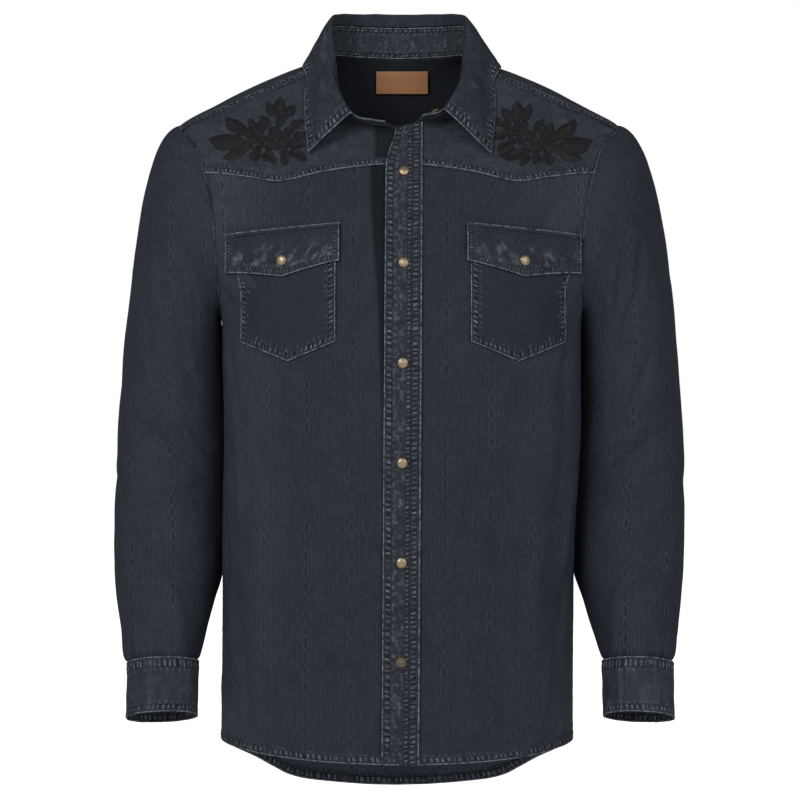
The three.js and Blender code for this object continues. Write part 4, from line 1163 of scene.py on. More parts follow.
class Finishes:
    """Makes the materials, each once."""

    def __init__(self) -> None:
        self.weave = shader_group("woven_stripes", ("Stripes", "Chains"), weave)
        self.wash = shader_group("wash", ("Wear", "Mottle"), wash)
        self.edge = shader_group("stitched_edge", ("Strength",), stitched_edge)
        self.made: Dict[str, bpy.types.Material] = {}

    def material(self, finish: Union[ClothFinish, PlainFinish]) -> bpy.types.Material:
        """The material of a finish."""
        if finish.name not in self.made:
            made = bpy.data.materials.new(finish.name)
            made.use_nodes = True
            n = Nodes(made.node_tree)
            inputs = made.node_tree.nodes["Principled BSDF"].inputs
            build = self.cloth if isinstance(finish, ClothFinish) else self.plain
            for key, value in build(n, finish).items():
                n.join(value, inputs[key])
            inputs["Roughness"].default_value = finish.rough
            self.made[finish.name] = made
        return self.made[finish.name]

    def cloth(self, n: Nodes, finish: ClothFinish) -> Dict[str, Any]:
        """Washed cotton: its weave, its wash and its stitched edges.

        Args:
            n: The material's nodes.
            finish: Its look.

        Returns:
            What goes into the shader.
        """
        turn = (0, 0, math.radians(finish.slant))
        grain = n.value("ShaderNodeMapping", {"Vector": n.value("ShaderNodeUVMap",
                        uv_map="grain"), "Rotation": turn})
        woven = n.group(self.weave, Vector=grain, Stripes=finish.stripes,
                        Chains=finish.chains)
        edge = n.group(self.edge, Vector=n.value("ShaderNodeUVMap", uv_map="seam"),
                       Strength=finish.rope)
        washed = n.group(self.wash, Vector=n.value("ShaderNodeTexCoord", output="Object"),
                         Wear=n.math("ADD", n.mark("wear"), edge["Wear"], clamp=True),
                         Mottle=finish.mottle)
        base = finish.colour
        light = tuple(min(1.0, c * 1.95 + 0.004) for c in base)
        colour = n.mix(woven["Light"], base, light)
        colour = n.mix(woven["Dark"], colour, tuple(c * 0.62 for c in base))
        # The wash's tone varies at random; the pale mark is painted light, lightening the fronts' sides and
        # the back's inside near the hem.
        colour = n.mix(1.0, colour, washed["Shade"] * (1.0 + n.mark("pale")), "MULTIPLY")
        colour = n.mix(washed["Fade"], colour, finish.worn)
        # Painted shade: the dark mark and the stitched edges' grooves and troughs darken the colour.
        shadow = n.math("ADD", n.mark("dark"), edge["Dark"], clamp=True)
        colour = n.mix(shadow * 0.8, colour, tuple(c * 0.2 for c in base))
        if finish.reverse < 1:
            back = tuple(c * finish.reverse for c in base)
            colour = n.mix(n.mark("inside") * 0.85, colour, back)
        twill = n.value("ShaderNodeTexWave", {"Vector": grain, "Scale": 420.0,
                        "Distortion": 1.6}, "Fac", wave_type="BANDS",
                        bands_direction="DIAGONAL")
        height = woven["Height"] + twill * 0.25 + washed["Grain"] * 0.9
        relief = n.bump(height, 0.55, 0.00028)
        return {"Base Color": colour, "Specular IOR Level": 0.1,
                "Normal": n.bump(edge["Height"], 0.85, 0.0011, Normal=relief)}

    def plain(self, n: Nodes, finish: PlainFinish) -> Dict[str, Any]:
        """One colour, a little spotted, in strands if the finish has them.

        Args:
            n: The material's nodes.
            finish: Its look.

        Returns:
            What goes into the shader.
        """
        spot = n.noise(n.value("ShaderNodeTexCoord", output="Object"), finish.scale, 3.0, 0.6)
        low = tuple(c * (1 - finish.spots) for c in finish.colour)
        high = tuple(min(1.0, c * (1 + finish.spots)) for c in finish.colour)
        made = {"Base Color": n.mix(spot, low, high), "Metallic": finish.metallic}
        if not finish.strands:
            return {**made, "Normal": n.bump(spot, 0.25, 0.0002)}
        grain = n.value("ShaderNodeUVMap", uv_map="grain")
        wave = n.value("ShaderNodeTexWave", {"Vector": grain, "Scale": 520.0,
                       "Distortion": 0.8}, "Fac", wave_type="BANDS", bands_direction="X")
        return {**made, "Specular IOR Level": 0.25,
                "Normal": n.bump(wave * 1.6 + spot, 0.9, 0.0002)}


STRIPED = ClothFinish("striped_denim", (0.0148, 0.0180, 0.0242), stripes=0.66, chains=0.42,
                      mottle=0.5, slot="striped_cloth")
SLEEVE_CLOTH = ClothFinish("sleeve_denim", (0.0174, 0.0210, 0.0280), stripes=0.62, chains=0.56,
                           mottle=0.5, slot="striped_cloth")
CUFF_CLOTH = ClothFinish("cuff_denim", (0.0202, 0.0242, 0.0316), stripes=0.42, chains=0.2,
                         mottle=0.7, rope=1.35, reverse=1.0, slot="striped_cloth")
BIAS = ClothFinish("pocket_denim", (0.0138, 0.0169, 0.0232), stripes=0.5, slant=38.0, mottle=0.5,
                   rope=1.25, slot="striped_cloth")
PLAIN = ClothFinish("plain_denim", (0.0212, 0.0250, 0.0318), mottle=0.8)
COLLAR_CLOTH = ClothFinish("collar_denim", (0.0190, 0.0228, 0.0294), mottle=0.95, rope=1.45,
                           reverse=1.0)
FLAP_CLOTH = ClothFinish("flap_denim", (0.0168, 0.0196, 0.0252), mottle=0.85)
TRIM = ClothFinish("trim_denim", (0.0184, 0.0216, 0.0278), mottle=0.95, rope=1.1, reverse=1.0)
HEM_CLOTH = ClothFinish("hem_denim", (0.0285, 0.0335, 0.0415), mottle=0.95, rope=1.4,
                        reverse=1.0)
STAND_CLOTH = ClothFinish("stand_denim", (0.0230, 0.0268, 0.0336), mottle=0.95, rope=1.4,
                          reverse=1.0)
FADED = ClothFinish("seam_denim", (0.0168, 0.0202, 0.0262), mottle=0.6, rope=0.4)
THREAD = PlainFinish("sewing_thread", (0.036, 0.041, 0.05), 0.0, 0.8, 0.3)
FLOSS = PlainFinish("embroidery_floss", (0.0062, 0.0066, 0.0078), 0.0, 0.5, 0.3, 1500.0, True)
TAN = PlainFinish("label_leather", (0.4, 0.19, 0.088), 0.0, 0.7, 0.12, 420.0)
BRASS = PlainFinish("snap_brass", (0.25, 0.2, 0.125), 0.85, 0.42, 0.25, 500.0)
RIM = PlainFinish("snap_rim", (0.1, 0.075, 0.05), 0.9, 0.42, 0.3, 700.0)
COPPER = PlainFinish("snap_copper", (0.14, 0.11, 0.08), 0.9, 0.4, 0.3, 600.0)


# ---- Cloth pieces ------------------------------------------------------------------------------


def roped(d: Array, run: Array, rows: Pair, seed: int, strength: float = 1.0) -> Array:
    """The relief of a doubled and stitched edge.

    Args:
        d: Distance from the edge.
        run: Distance along the edge.
        rows: Distances of the two rows of stitches from the edge.
        seed: Which puckers.
        strength: How strong they are.

    Returns:
        Its height at each place.
    """
    p = np.clip(1.5 * lumps(run + 0.4 * d, d * 0.2 + seed * 3.1, 6.0, seed), -1, 1)
    q = np.clip(1.5 * lumps(run, d * 0.2 + seed, 13.0, seed + 40), -1, 1)
    reach = max((rows[1] - rows[0]) / 2, 1.6)
    band = np.exp(-(((d - (rows[0] + rows[1]) / 2) / (reach * 1.1)) ** 4))
    groove = bump(d - rows[0], 0.75) + bump(d - rows[1], 0.75)
    after = bump(d - rows[1] - 2.6, 2.2)
    return strength * (0.28 * bump(d - 0.9, 1.2) * (1 + 0.5 * q)
                       + band * (0.18 + 0.25 * p + 0.15 * q) - 0.28 * groove + 0.3 * after * q)


def soft_puckers(grid: Grid, seed: int, *edges: Tuple[Array, Array, float, float]) -> None:
    """Uneven puckers that run out from seams into a panel.

    Args:
        grid: The panel.
        seed: The puckers of the first seam.
        *edges: Distance from a seam and along it, and the reach and height of its puckers.
    """
    for k, (d, run, reach, height) in enumerate(edges, seed):
        wave = lumps(run, d * 0.16, 7.5, k) + 0.6 * lumps(run, d * 0.12, 15.0, k + 1)
        grid.raise_by(height * wave * np.exp(-np.maximum(d, 0) / reach))


def edged(count: int, wide: float, fine: float = 0.55, reach: float = 9.0) -> Array:
    """Places from 0 to 1, closer together near both ends.

    Args:
        count: How many lie between the two fine stretches.
        wide: The width that they cover.
        fine: Spacing of the fine stretches.
        reach: How far they reach in from each end.

    Returns:
        The places.
    """
    ends = np.arange(0, reach, fine) / wide
    middle = np.linspace(ends[-1], 1 - ends[-1], count + 2)[1:-1]
    return np.concatenate([ends, middle, 1 - ends[::-1]])


def body_grid(angle: Array, z: Array) -> Grid:
    """A grid on the body, with its grain measured along the body."""
    points = FORM.point(angle, z)
    grid = Grid(points, FORM.normal(angle, z), lengths(points, 1), z * 1.0)
    grid.marks = {"wear": np.zeros(z.shape), "dark": np.zeros(z.shape)}
    return grid


def flat_grid(x: Array, z: Array) -> Grid:
    """A grid on the front of the body, by x and z."""
    return body_grid(FORM.angle_at(x, z), z)


def strip_shade(x: Array, z: Array, reach: Array, soft: float = 3.0) -> Array:
    """The shade beside the front strip, where it stands off the wearer's right front."""
    near = np.maximum(placket_centre(z) - SIZES.placket_width / 2 - x, 0)
    return 1.2 * smooth(-near, -reach - soft, -reach + soft)


class Held(Enum):
    """How a piece of cloth is held."""

    GATHERED = "gathered"
    FOLDED = "folded"
    LAID = "laid"


@dataclass(frozen=True)
class Cut:
    """The flat cut of a piece of cloth, in metres.

    Attributes:
        flat: Its width and length.
        held: How it is held.
        rests_on: What it hangs from or lies on.
        area: Its area, if it isn't a rectangle.
    """

    flat: Pair
    held: Held
    rests_on: Sequence[str]
    area: Optional[float] = None


class Part:
    """A sub-assembly of the shirt.

    Args:
        sewing: The finishes, and what keeps the rows of stitches.
        side: +1 for the wearer's left, -1 for the right.
    """

    def __init__(self, sewing: "Sewing", side: int = 1) -> None:
        self.sewing, self.side, self.name = sewing, side, side_name(side)

    def cut(self, name: str, grid: Grid, finish: ClothFinish, cut: Cut,
            thick: float = SIZES.folded, node: str = "") -> bpy.types.Object:
        """Makes a piece of cloth.

        Args:
            name: The piece's name, before its ending.
            grid: Its outer face.
            finish: Its cloth.
            cut: Its flat cut.
            thick: Its thickness.
            node: The node that it stands for, if it has another name.

        Returns:
            The piece.
        """
        obj = cloth_from(f"{name}_cloth", grid, self.sewing.finishes.material(finish), thick)
        ride(obj, finish.slot, node or name)
        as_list(cut.rests_on)
        return obj


class BodyPanels(Part):
    """The fronts, the back and the yokes."""

    LEFT_CREASES = creases(
        (165, -196, 120, 62, 8, -2.6, 6), (178, -214, 100, 48, 7, 1.9, 4),
        (188, -262, 90, 36, 8, -2.2, 5), (150, -176, 80, 20, 6, 1.2, 3),
        (212, -330, 120, 70, 9, -2.0, 6), (120, -395, 150, 78, 11, 1.5, 9),
        (196, -430, 170, 84, 10, -1.9, -7), (88, -470, 130, 70, 9, -1.0, 6),
        (226, -520, 150, 80, 9, 1.7, 6), (150, -560, 190, 86, 12, -1.3, 8),
        (214, -600, 130, 72, 9, -1.6, 5), (84, -640, 120, 80, 9, 1.0, 5),
        (182, -690, 90, 82, 8, 1.4, 4), (120, -716, 70, 78, 8, -1.1, 3),
        (236, -706, 80, 78, 8, -1.4, 3), (40, -300, 120, 88, 7, -0.7, 3),
        (36, -520, 140, 87, 7, 0.7, 3),
    )
    RIGHT_CREASES = creases(
        (-152, -190, 110, -58, 8, -2.3, -6), (-182, -232, 110, -44, 8, 2.0, -5),
        (-196, -276, 90, -34, 8, -2.4, -4), (-150, -168, 70, -16, 6, 1.1, -3),
        (-206, -345, 130, -72, 9, -1.8, -6), (-128, -380, 140, -80, 11, -1.2, -8),
        (-205, -455, 160, -82, 10, 1.8, 7), (-96, -455, 120, -74, 9, 1.0, -6),
        (-228, -540, 140, -80, 9, -1.8, -6), (-150, -545, 180, -88, 12, 1.3, -7),
        (-212, -620, 130, -74, 9, 1.6, -5), (-92, -620, 130, -82, 9, -1.0, -5),
        (-176, -684, 100, -80, 8, -1.5, -4), (-124, -708, 80, -76, 8, 1.1, -3),
        (-240, -700, 80, -78, 8, 1.5, -3), (-52, -330, 130, -88, 7, 0.7, -3),
        (-50, -560, 150, -87, 7, -0.7, -3),
    )
    BACK_CREASES = creases(
        (-120, -210, 140, -70, 11, -2.2, -6), (-176, -250, 110, -52, 9, 2.0, -5),
        (126, -216, 140, 68, 11, -2.2, 6), (180, -256, 110, 50, 9, 2.1, 5),
        (0, -300, 220, 88, 16, -1.5, 8), (-70, -360, 190, -84, 13, 1.8, -8),
        (84, -372, 200, 82, 13, 1.7, 9), (-150, -440, 180, -80, 12, -2.1, -8),
        (152, -450, 170, 78, 12, -2.0, 8), (20, -480, 200, 86, 14, 1.6, 8),
        (-60, -560, 200, -84, 13, -1.7, -8), (96, -580, 190, 84, 13, 1.8, 9),
        (-176, -620, 160, -80, 11, 1.9, -6), (186, -640, 150, 80, 11, -1.9, 6),
        (-8, -660, 170, 88, 13, -1.6, 7), (-100, -700, 130, -80, 11, 1.6, -5),
        (120, -716, 120, 82, 11, -1.5, 5),
    )

    @staticmethod
    def edge_angle(side_z: Array, degrees: Array, side: int) -> Array:
        """The angle of a panel's side: the armhole's above the underarm, else the side seam's."""
        return np.where(side_z > SIZES.underarm_z, FORM.armhole(degrees, side)[0],
                        side * math.pi / 2)

    @staticmethod
    def front_places(side: int, s: Array, t: Array) -> Places:
        """Places of a front: s from under the strip to the side, t from the hem to the yoke."""
        _, top_z = FORM.armhole(SIZES.front_yoke_arm, side)
        side_z = SIZES.side_hem_z + t * (top_z - SIZES.side_hem_z)
        edge = BodyPanels.edge_angle(
            side_z, FORM.arm_degrees(side_z, SIZES.front_yoke_arm), side)
        foot, top = FRONT_HEM.read("z", s), yoke_seam(s, side)[1]
        z = foot[None] + (top - foot)[None] * t[:, None]
        start = FORM.angle_at(joint_x(z), z)
        return start + (edge[:, None] - start) * s[None], z

    @staticmethod
    def back_places(s: Array, t: Array) -> Places:
        """Places of the back: s from the wearer's left to the right, t from hem to yoke."""
        _, top_z = FORM.armhole(SIZES.back_yoke_arm, 1)
        side_z = SIZES.side_hem_z + t * (top_z - SIZES.side_hem_z)
        edge = BodyPanels.edge_angle(
            side_z, 360 - FORM.arm_degrees(side_z, 360 - SIZES.back_yoke_arm), 1)[:, None]
        foot = BACK_HEM.read("z", np.abs(1 - 2 * s))
        seam_angle, seam_z = back_yoke_seam(s)
        z = foot[None] + (seam_z - foot)[None] * t[:, None]
        shift = seam_angle - (seam_angle[0] + (seam_angle[-1] - seam_angle[0]) * s)
        return edge + (2 * math.pi - 2 * edge) * s[None] + shift[None] * t[:, None] ** 2, z

    def front(self, side: int) -> bpy.types.Object:
        """One front."""
        grid = body_grid(*self.front_places(side, np.linspace(0, 1, 92), np.linspace(0, 1, 206)))
        middle_z = -400.0
        start = FORM.point(FORM.angle_at(joint_x(middle_z), middle_z), middle_z)[0]
        grid.u = side * grid.u + float(start)
        seed, name = (3 if side > 0 else 8), side_name(side)
        _, rise, far, high = spans(grid.points)
        aside = np.abs(grid.points[..., 0] - placket_centre(grid.points[..., 2]))
        from_strip = np.abs(aside - SIZES.placket_width / 2)
        grid.add_creases(self.LEFT_CREASES if side > 0 else self.RIGHT_CREASES, 1.5)
        soft_puckers(grid, seed, (high, grid.u, 9, 0.75), (rise - 9, grid.u, 10, 0.7),
                     (far, grid.v, 10, 0.8), (from_strip, grid.v, 8, 0.6))
        grid.raise_by(0.5 * lumps(grid.u, grid.v, 34, seed + 4)
                      + 0.22 * lumps(grid.u, grid.v, 13, seed + 5))
        x = grid.points[..., 0]
        # Painted light: the fronts are lightened towards their sides, where they turn away from the lamps.
        grid.marks["pale"] = 0.5 * smooth(np.abs(x), 100, 195)
        if side < 0:
            reach = (5 + 11 * smooth(grid.v, -330, -130)) * smooth(grid.v, -420, -300)
            grid.marks["dark"] += strip_shade(x, grid.v, reach) * (reach > 0.4)
        return self.cut(f"front_{name}", grid, STRIPED,
                        Cut((0.32, 0.655), Held.GATHERED, [f"yoke_front_{name}"],
                            0.156 if side > 0 else 0.174), SIZES.cloth)

    def back(self) -> bpy.types.Object:
        """The back."""
        grid = body_grid(*self.back_places(np.linspace(0, 1, 150), np.linspace(0, 1, 190)))
        grid.u = grid.u - grid.u[:, 75:76]
        run, rise, far, high = spans(grid.points)
        grid.add_creases(self.BACK_CREASES)
        soft_puckers(grid, 21, (high, grid.u, 9, 0.8), (rise - 9, grid.u, 11, 0.8),
                     (run, grid.v, 10, 0.8), (far, grid.v, 10, 0.8))
        grid.raise_by(0.6 * lumps(grid.u, grid.v, 36, 25) + 0.22 * lumps(grid.u, grid.v, 13, 26))
        # Painted light on the inside of the back near its hem, which lies in shade behind the fronts.
        grid.marks["lining"] = smooth(-rise, -75, -40)
        return self.cut("back", grid, STRIPED,
                        Cut((0.53, 0.68), Held.GATHERED, ["yoke_back"], 0.33), SIZES.cloth)

    @staticmethod
    def front_yoke_grid(side: int) -> Grid:
        """The form of a front yoke."""
        neck_angle = float(np.degrees(FORM.angle_at(joint_x(-86.0), -86.0)))
        neck_z = float(FORM.neck(neck_angle)[1])
        seam_z = float(yoke_seam(np.array([0.0]), side)[1][0])

        def inner(q: Array) -> Array:
            """The edge under the strip for its first quarter, then along the neck."""
            z = seam_z + (neck_z - seam_z) * np.minimum(q * 4, 1)
            low = FORM.point(FORM.angle_at(joint_x(z), z), z)
            share = np.clip((q - 0.25) / 0.75, 0, 1)
            turn = neck_angle + (side * SIZES.neck_corner - neck_angle) * share
            angle, high_z = FORM.neck(np.abs(turn))
            return np.where((q < 0.25)[:, None], low, FORM.point(np.sign(turn) * angle, high_z))

        return body_grid(*patch(
            np.linspace(0, 1, 110), np.linspace(0, 1, 60),
            lambda q: FORM.point(*yoke_seam(q, side)),
            lambda q: FORM.point(*shoulder_seam(q, side)), inner,
            arm_edge(SIZES.front_yoke_arm, side)))

    def front_yoke(self, side: int) -> bpy.types.Object:
        """One front yoke."""
        grid, seed, name = self.front_yoke_grid(side), (31 if side > 0 else 36), side_name(side)
        grid.u = grid.points[..., 0] * 1.0
        run, rise, far, high = spans(grid.points)
        soft_puckers(grid, seed, (rise, run, 12, 0.9), (high, run, 11, 0.9),
                     (far, rise, 10, 0.9))
        grid.raise_by(0.8 * lumps(run, rise, 26, seed + 3) + 0.3 * lumps(run, rise, 9, seed + 4))
        grid.marks["wear"] += 0.08 * np.clip(lumps(run, rise, 10, seed + 5), 0, 1)
        if side < 0:
            grid.marks["dark"] += strip_shade(grid.points[..., 0], grid.points[..., 2], 11.5, 2.5)
        return self.cut(f"yoke_front_{name}", grid, PLAIN,
                        Cut((0.27, 0.16), Held.GATHERED, ["yoke_back"], 0.0235), SIZES.cloth)

    @staticmethod
    def back_yoke_grid() -> Grid:
        """The form of the back yoke, whose upper edge follows shoulder, neck and shoulder."""
        left, right = 6 / 22, 16 / 22
        s = np.concatenate([np.linspace(0, left, 50)[:-1], np.linspace(left, right, 70)[:-1],
                            np.linspace(right, 1, 50)])

        def top(q: Array) -> Array:
            """The upper edge."""
            over = FORM.point(*shoulder_seam(np.clip(1 - q / left, 0, 1), 1))
            back = FORM.point(*shoulder_seam(np.clip(1 - (1 - q) / left, 0, 1), -1))
            turn = SIZES.neck_corner + (360 - 2 * SIZES.neck_corner) * np.clip(
                (q - left) / (right - left), 0, 1)
            middle = np.where((q >= right)[:, None], back, FORM.point(*FORM.neck(turn)))
            return np.where((q <= left)[:, None], over, middle)

        return body_grid(*patch(s, np.linspace(0, 1, 64),
                                lambda q: FORM.point(*back_yoke_seam(q)), top,
                                arm_edge(SIZES.back_yoke_arm, 1),
                                arm_edge(SIZES.back_yoke_arm, -1)))

    def back_yoke(self) -> bpy.types.Object:
        """The back yoke."""
        grid = self.back_yoke_grid()
        grid.u = grid.points[..., 0] * 1.0
        run, rise, _, _ = spans(grid.points)
        soft_puckers(grid, 51, (rise, run, 10, 0.7))
        grid.raise_by(0.45 * lumps(run, rise, 26, 52))
        return self.cut("yoke_back", grid, PLAIN,
                        Cut((0.56, 0.24), Held.GATHERED, [], 0.088), SIZES.cloth)


class Sleeve(Part):
    """A sleeve with its slit's binding and its cuff.

    Its creases are placed by u round from its outer line and v down from the shoulder.

    Args:
        sewing: The finishes, and what keeps the rows of stitches.
        side: +1 for the wearer's left.
    """

    LEFT = creases(
        (-92, -330, 120, 24, 7, -2.6, 8), (-74, -350, 100, 12, 6, 1.7, 6),
        (-104, -372, 110, -22, 7, -2.3, -7), (-60, -400, 90, 30, 7, 1.6, 5),
        (-118, -300, 80, 40, 7, 1.9, 5), (-90, -252, 110, 58, 9, -1.6, 6),
        (-56, -205, 120, 72, 10, 1.3, 6), (-110, -170, 120, 66, 9, -2.0, 6),
        (-128, -120, 100, 76, 8, 1.9, 4), (-84, -96, 100, 80, 8, -1.4, 3),
        (-70, -470, 110, 62, 8, -1.8, 5), (-104, -500, 90, 74, 7, 1.8, 4),
        (-34, -440, 120, 78, 9, 1.2, 5), (30, -380, 110, -20, 8, -1.8, -6),
        (44, -420, 120, 60, 9, 1.6, 6), (84, -350, 120, -26, 9, -2.4, -7),
        (104, -300, 110, 40, 9, 1.9, 6), (110, -470, 110, 70, 9, -1.9, 5),
    )
    RIGHT = creases(
        (92, -316, 120, -20, 7, -2.5, 7), (70, -340, 110, -8, 6, 1.8, 5),
        (100, -362, 120, 24, 7, -2.4, -8), (52, -392, 90, -34, 7, 1.5, 5),
        (116, -286, 80, -42, 7, 1.9, 5), (84, -240, 120, -60, 9, -1.6, 6),
        (50, -190, 120, -74, 10, 1.3, 6), (112, -182, 110, -64, 9, -2.0, 6),
        (124, -128, 100, -78, 8, 1.8, 4), (80, -104, 100, -80, 8, -1.3, 3),
        (66, -462, 110, -64, 8, -1.8, 5), (100, -506, 90, -72, 7, 1.8, 4),
        (30, -446, 120, -80, 9, 1.2, 5), (-32, -372, 110, 18, 8, -1.8, -6),
        (-50, -430, 120, -62, 9, 1.6, 6), (-88, -342, 120, 30, 9, -2.4, -7),
        (-108, -296, 110, -42, 9, 1.9, 6), (-112, -476, 110, -68, 9, -1.9, 5),
    )

    def __init__(self, sewing: "Sewing", side: int) -> None:
        super().__init__(sewing, side)
        self.form = SleeveForm(side)

    def rings(self, count: int) -> Tuple[Array, Array]:
        """Evenly spaced places along the sleeve, and their distance from the shoulder."""
        fine = np.linspace(0, 16.6, 600)
        line = 0.5 * (self.form.point(180.0, fine) + self.form.point(90.0, fine))
        run = run_of(line)
        even = np.linspace(0, run[-1], count)
        return np.interp(even, run, fine), even

    def sleeve(self) -> bpy.types.Object:
        """The sleeve."""
        degrees = np.linspace(0, 360, 156, endpoint=False)
        rings, run = self.rings(186)
        rings, run = rings[:, None], run[:, None]
        points = self.form.point(degrees[None], rings)
        ahead, behind = (self.form.point(degrees[None] + k, rings) for k in (1.0, -1.0))
        normals = unit(np.cross(ahead - behind, np.gradient(points, axis=0)))
        normals = away_from(points.mean(axis=1, keepdims=True), points, normals)
        around = lengths(np.concatenate([points, points[:, :1]], axis=1), 1)
        half = around[:, -1:] / 2
        u = (around[:, :-1] - half) * self.side
        grid = Grid(points, normals, u, -run + 0 * u, wrapped=True)
        self.straighten(grid, int(np.searchsorted(rings[:, 0], 6.0)), degrees)
        self.hang(grid, int(np.searchsorted(rings[:, 0], 11.6)), degrees)
        grid.add_creases(self.LEFT if self.side > 0 else self.RIGHT, 1.7)
        seed = 61 if self.side > 0 else 71
        gathers = (lumps(u + 500, grid.v * 0.12, 7.5, seed)
                   + 0.8 * lumps(u + 500, grid.v * 0.1, 14, seed + 1))
        free = 1 - bump(np.abs(u) - half, 12)
        grid.raise_by(gathers * free * (1.5 * bump(run[-1] - run - 14, 22) + 0.25))
        underarm = bump((degrees[None] + 180) % 360 - 180, 34) * bump(run - 20, 22)
        grid.raise_by(3.0 * underarm)
        cap = lumps(u + 500, grid.v * 0.2, 8.5, seed + 2) * np.exp(-run / 11)
        grid.raise_by(0.9 * cap * free)
        wrap = np.radians(degrees)[None]
        x, y = 62 * np.cos(wrap) + 0 * u, 62 * np.sin(wrap)
        grid.raise_by(0.7 * lumps(x, y + grid.v * 0.7, 26, seed + 3)
                      + 0.25 * lumps(x, y + grid.v * 0.6, 11, seed + 4))
        # Painted shade on the front of the sleeve's inner side, beside the body, from about 200 mm below
        # the shoulder down towards the cuff.
        grid.marks = {"dark": 0.4 * bump((degrees[None] - 28) / 30, 1)
                      * smooth(grid.v, -640, -560) * smooth(-grid.v, 90, 200)}
        return self.cut(f"sleeve_{self.name}", grid, SLEEVE_CLOTH,
                        Cut((0.44, 0.60), Held.GATHERED, [f"front_{self.name}_cloth"], 0.2),
                        SIZES.cloth)

    @staticmethod
    def straighten(grid: Grid, row: int, degrees: Array) -> None:
        """Keeps the grain straight above the armpit, where the rings shorten.

        Args:
            grid: The sleeve.
            row: The row of its last full ring.
            degrees: Degrees round of the columns.
        """
        part = np.abs(np.sin(np.radians(degrees))) ** 0.4
        middle, below = grid.points[row].mean(axis=0), grid.points[row + 12].mean(axis=0)
        along = unit(middle - below)
        across = unit(np.cross(along, np.array([0.0, 1.0, 0.0])))
        aside, up = (np.einsum("rck,k->rc", grid.points - middle, way) for way in (across, along))
        grid.follow(aside, row, range(row), part)
        share = np.clip((row - np.arange(row)) / 12.0, 0, 1)[:, None]
        straight = grid.v[row].mean() + (up[:row] - up[row].mean())
        grid.v[:row] = grid.v[:row] * (1 - share) + straight * share

    @staticmethod
    def hang(grid: Grid, row: int, degrees: Array) -> None:
        """Keeps the grain upright on the forearm, where the gathers take in the rings.

        Args:
            grid: The sleeve.
            row: The row of its last wide ring.
            degrees: Degrees round of the columns.
        """
        share = np.abs(np.sin(np.radians(degrees))) ** 0.8
        grid.follow(grid.points[..., 0], row, range(row + 1, grid.shape[0]), share)

    def cuff(self) -> bpy.types.Object:
        """The cuff, its end lapped over its start."""
        sizes, rows, top_rows = self.form.cuff, (2.2, 8.4), (2.6, 12.0)
        sweep = 360 + sizes.lap
        s, t = np.linspace(0, 1, 230), edged(14, 62, 0.7)
        lift = smooth(s * sweep, 336, 358) * (SIZES.folded + SIZES.layer)
        points, outer = (self.form.cuff_point(sizes.start + s[None] * sweep, 1 - t[:, None],
                                              lift[None] + k) for k in (0, 1))
        run, low, far, high = spans(points)
        grid = Grid(points, unit(outer - points), run * self.side, low)
        seed = 81 if self.side > 0 else 87
        ends = np.minimum(run, far)
        pulled = lumps(run, low * 0.12, 8.5, seed + 5) + 0.6 * lumps(run, low * 0.2, 4.5, seed + 6)
        grid.raise_by(roped(high, run, top_rows, seed) + roped(low, run, rows, seed + 1)
                      + roped(ends, low, rows, seed + 2, 0.8)
                      + 0.4 * lumps(run, low, 12, seed + 3) + 0.55 * pulled)
        edge = np.minimum(np.minimum(high, low), ends)
        below = stitched(edge, np.where(ends <= edge, low, run), rows, 5.6)
        above = stitched(high, run, top_rows, 5.6)
        grid.seam = tuple(np.where((high < 22) & (high <= ends), one, two)
                          for one, two in zip(above, below))
        # Lighter on the rubbed crests of the gathers; the dark in their troughs is painted shade.
        grid.marks = {"wear": 0.1 * np.clip(lumps(run, low, 9, seed + 4), 0, 1)
                      + 0.2 * np.clip(pulled - 0.4, 0, 1),
                      "dark": 0.35 * np.clip(-pulled - 0.3, 0, 1)}
        self.sewing.trim(grid, (*top_rows, 7.2), (high, 0, None))
        self.sewing.trim(grid, rows, (low, 0, None), (far, 1, None))
        return self.cut(f"cuff_{self.name}", grid, CUFF_CLOTH,
                        Cut((0.245, 0.069), Held.FOLDED, [f"sleeve_{self.name}_cloth"]))

    def slit(self) -> bpy.types.Object:
        """The binding of the slit at the back of the forearm."""
        s, t = np.linspace(0, 1, 22), np.linspace(0, 1, 74)
        degrees, rings, rows = 210 + 26 * s[None], 14.8 - 3.4 * t[:, None], (2.0, 6.0)
        points = self.form.point(degrees, rings)
        normals = away_from(self.form.point(degrees + 180, rings), points, facing(points))
        run, rise, far, high = spans(points)
        grid = Grid(points, normals, run, rise)
        edge = np.minimum(np.minimum(run, far), np.minimum(rise, high))
        grid.raise_by(SIZES.layer + SIZES.folded + roped(edge, rise + run, rows, 91, 0.9))
        grid.seam = stitched(edge, rise + run, rows, 5.5)
        return self.cut(f"slit_{self.name}", grid, TRIM,
                        Cut((0.032, 0.112), Held.FOLDED, [f"sleeve_{self.name}_cloth"]))

    def build(self) -> Pieces:
        """All the pieces of this arm."""
        return [self.sleeve(), self.cuff(), self.slit()]


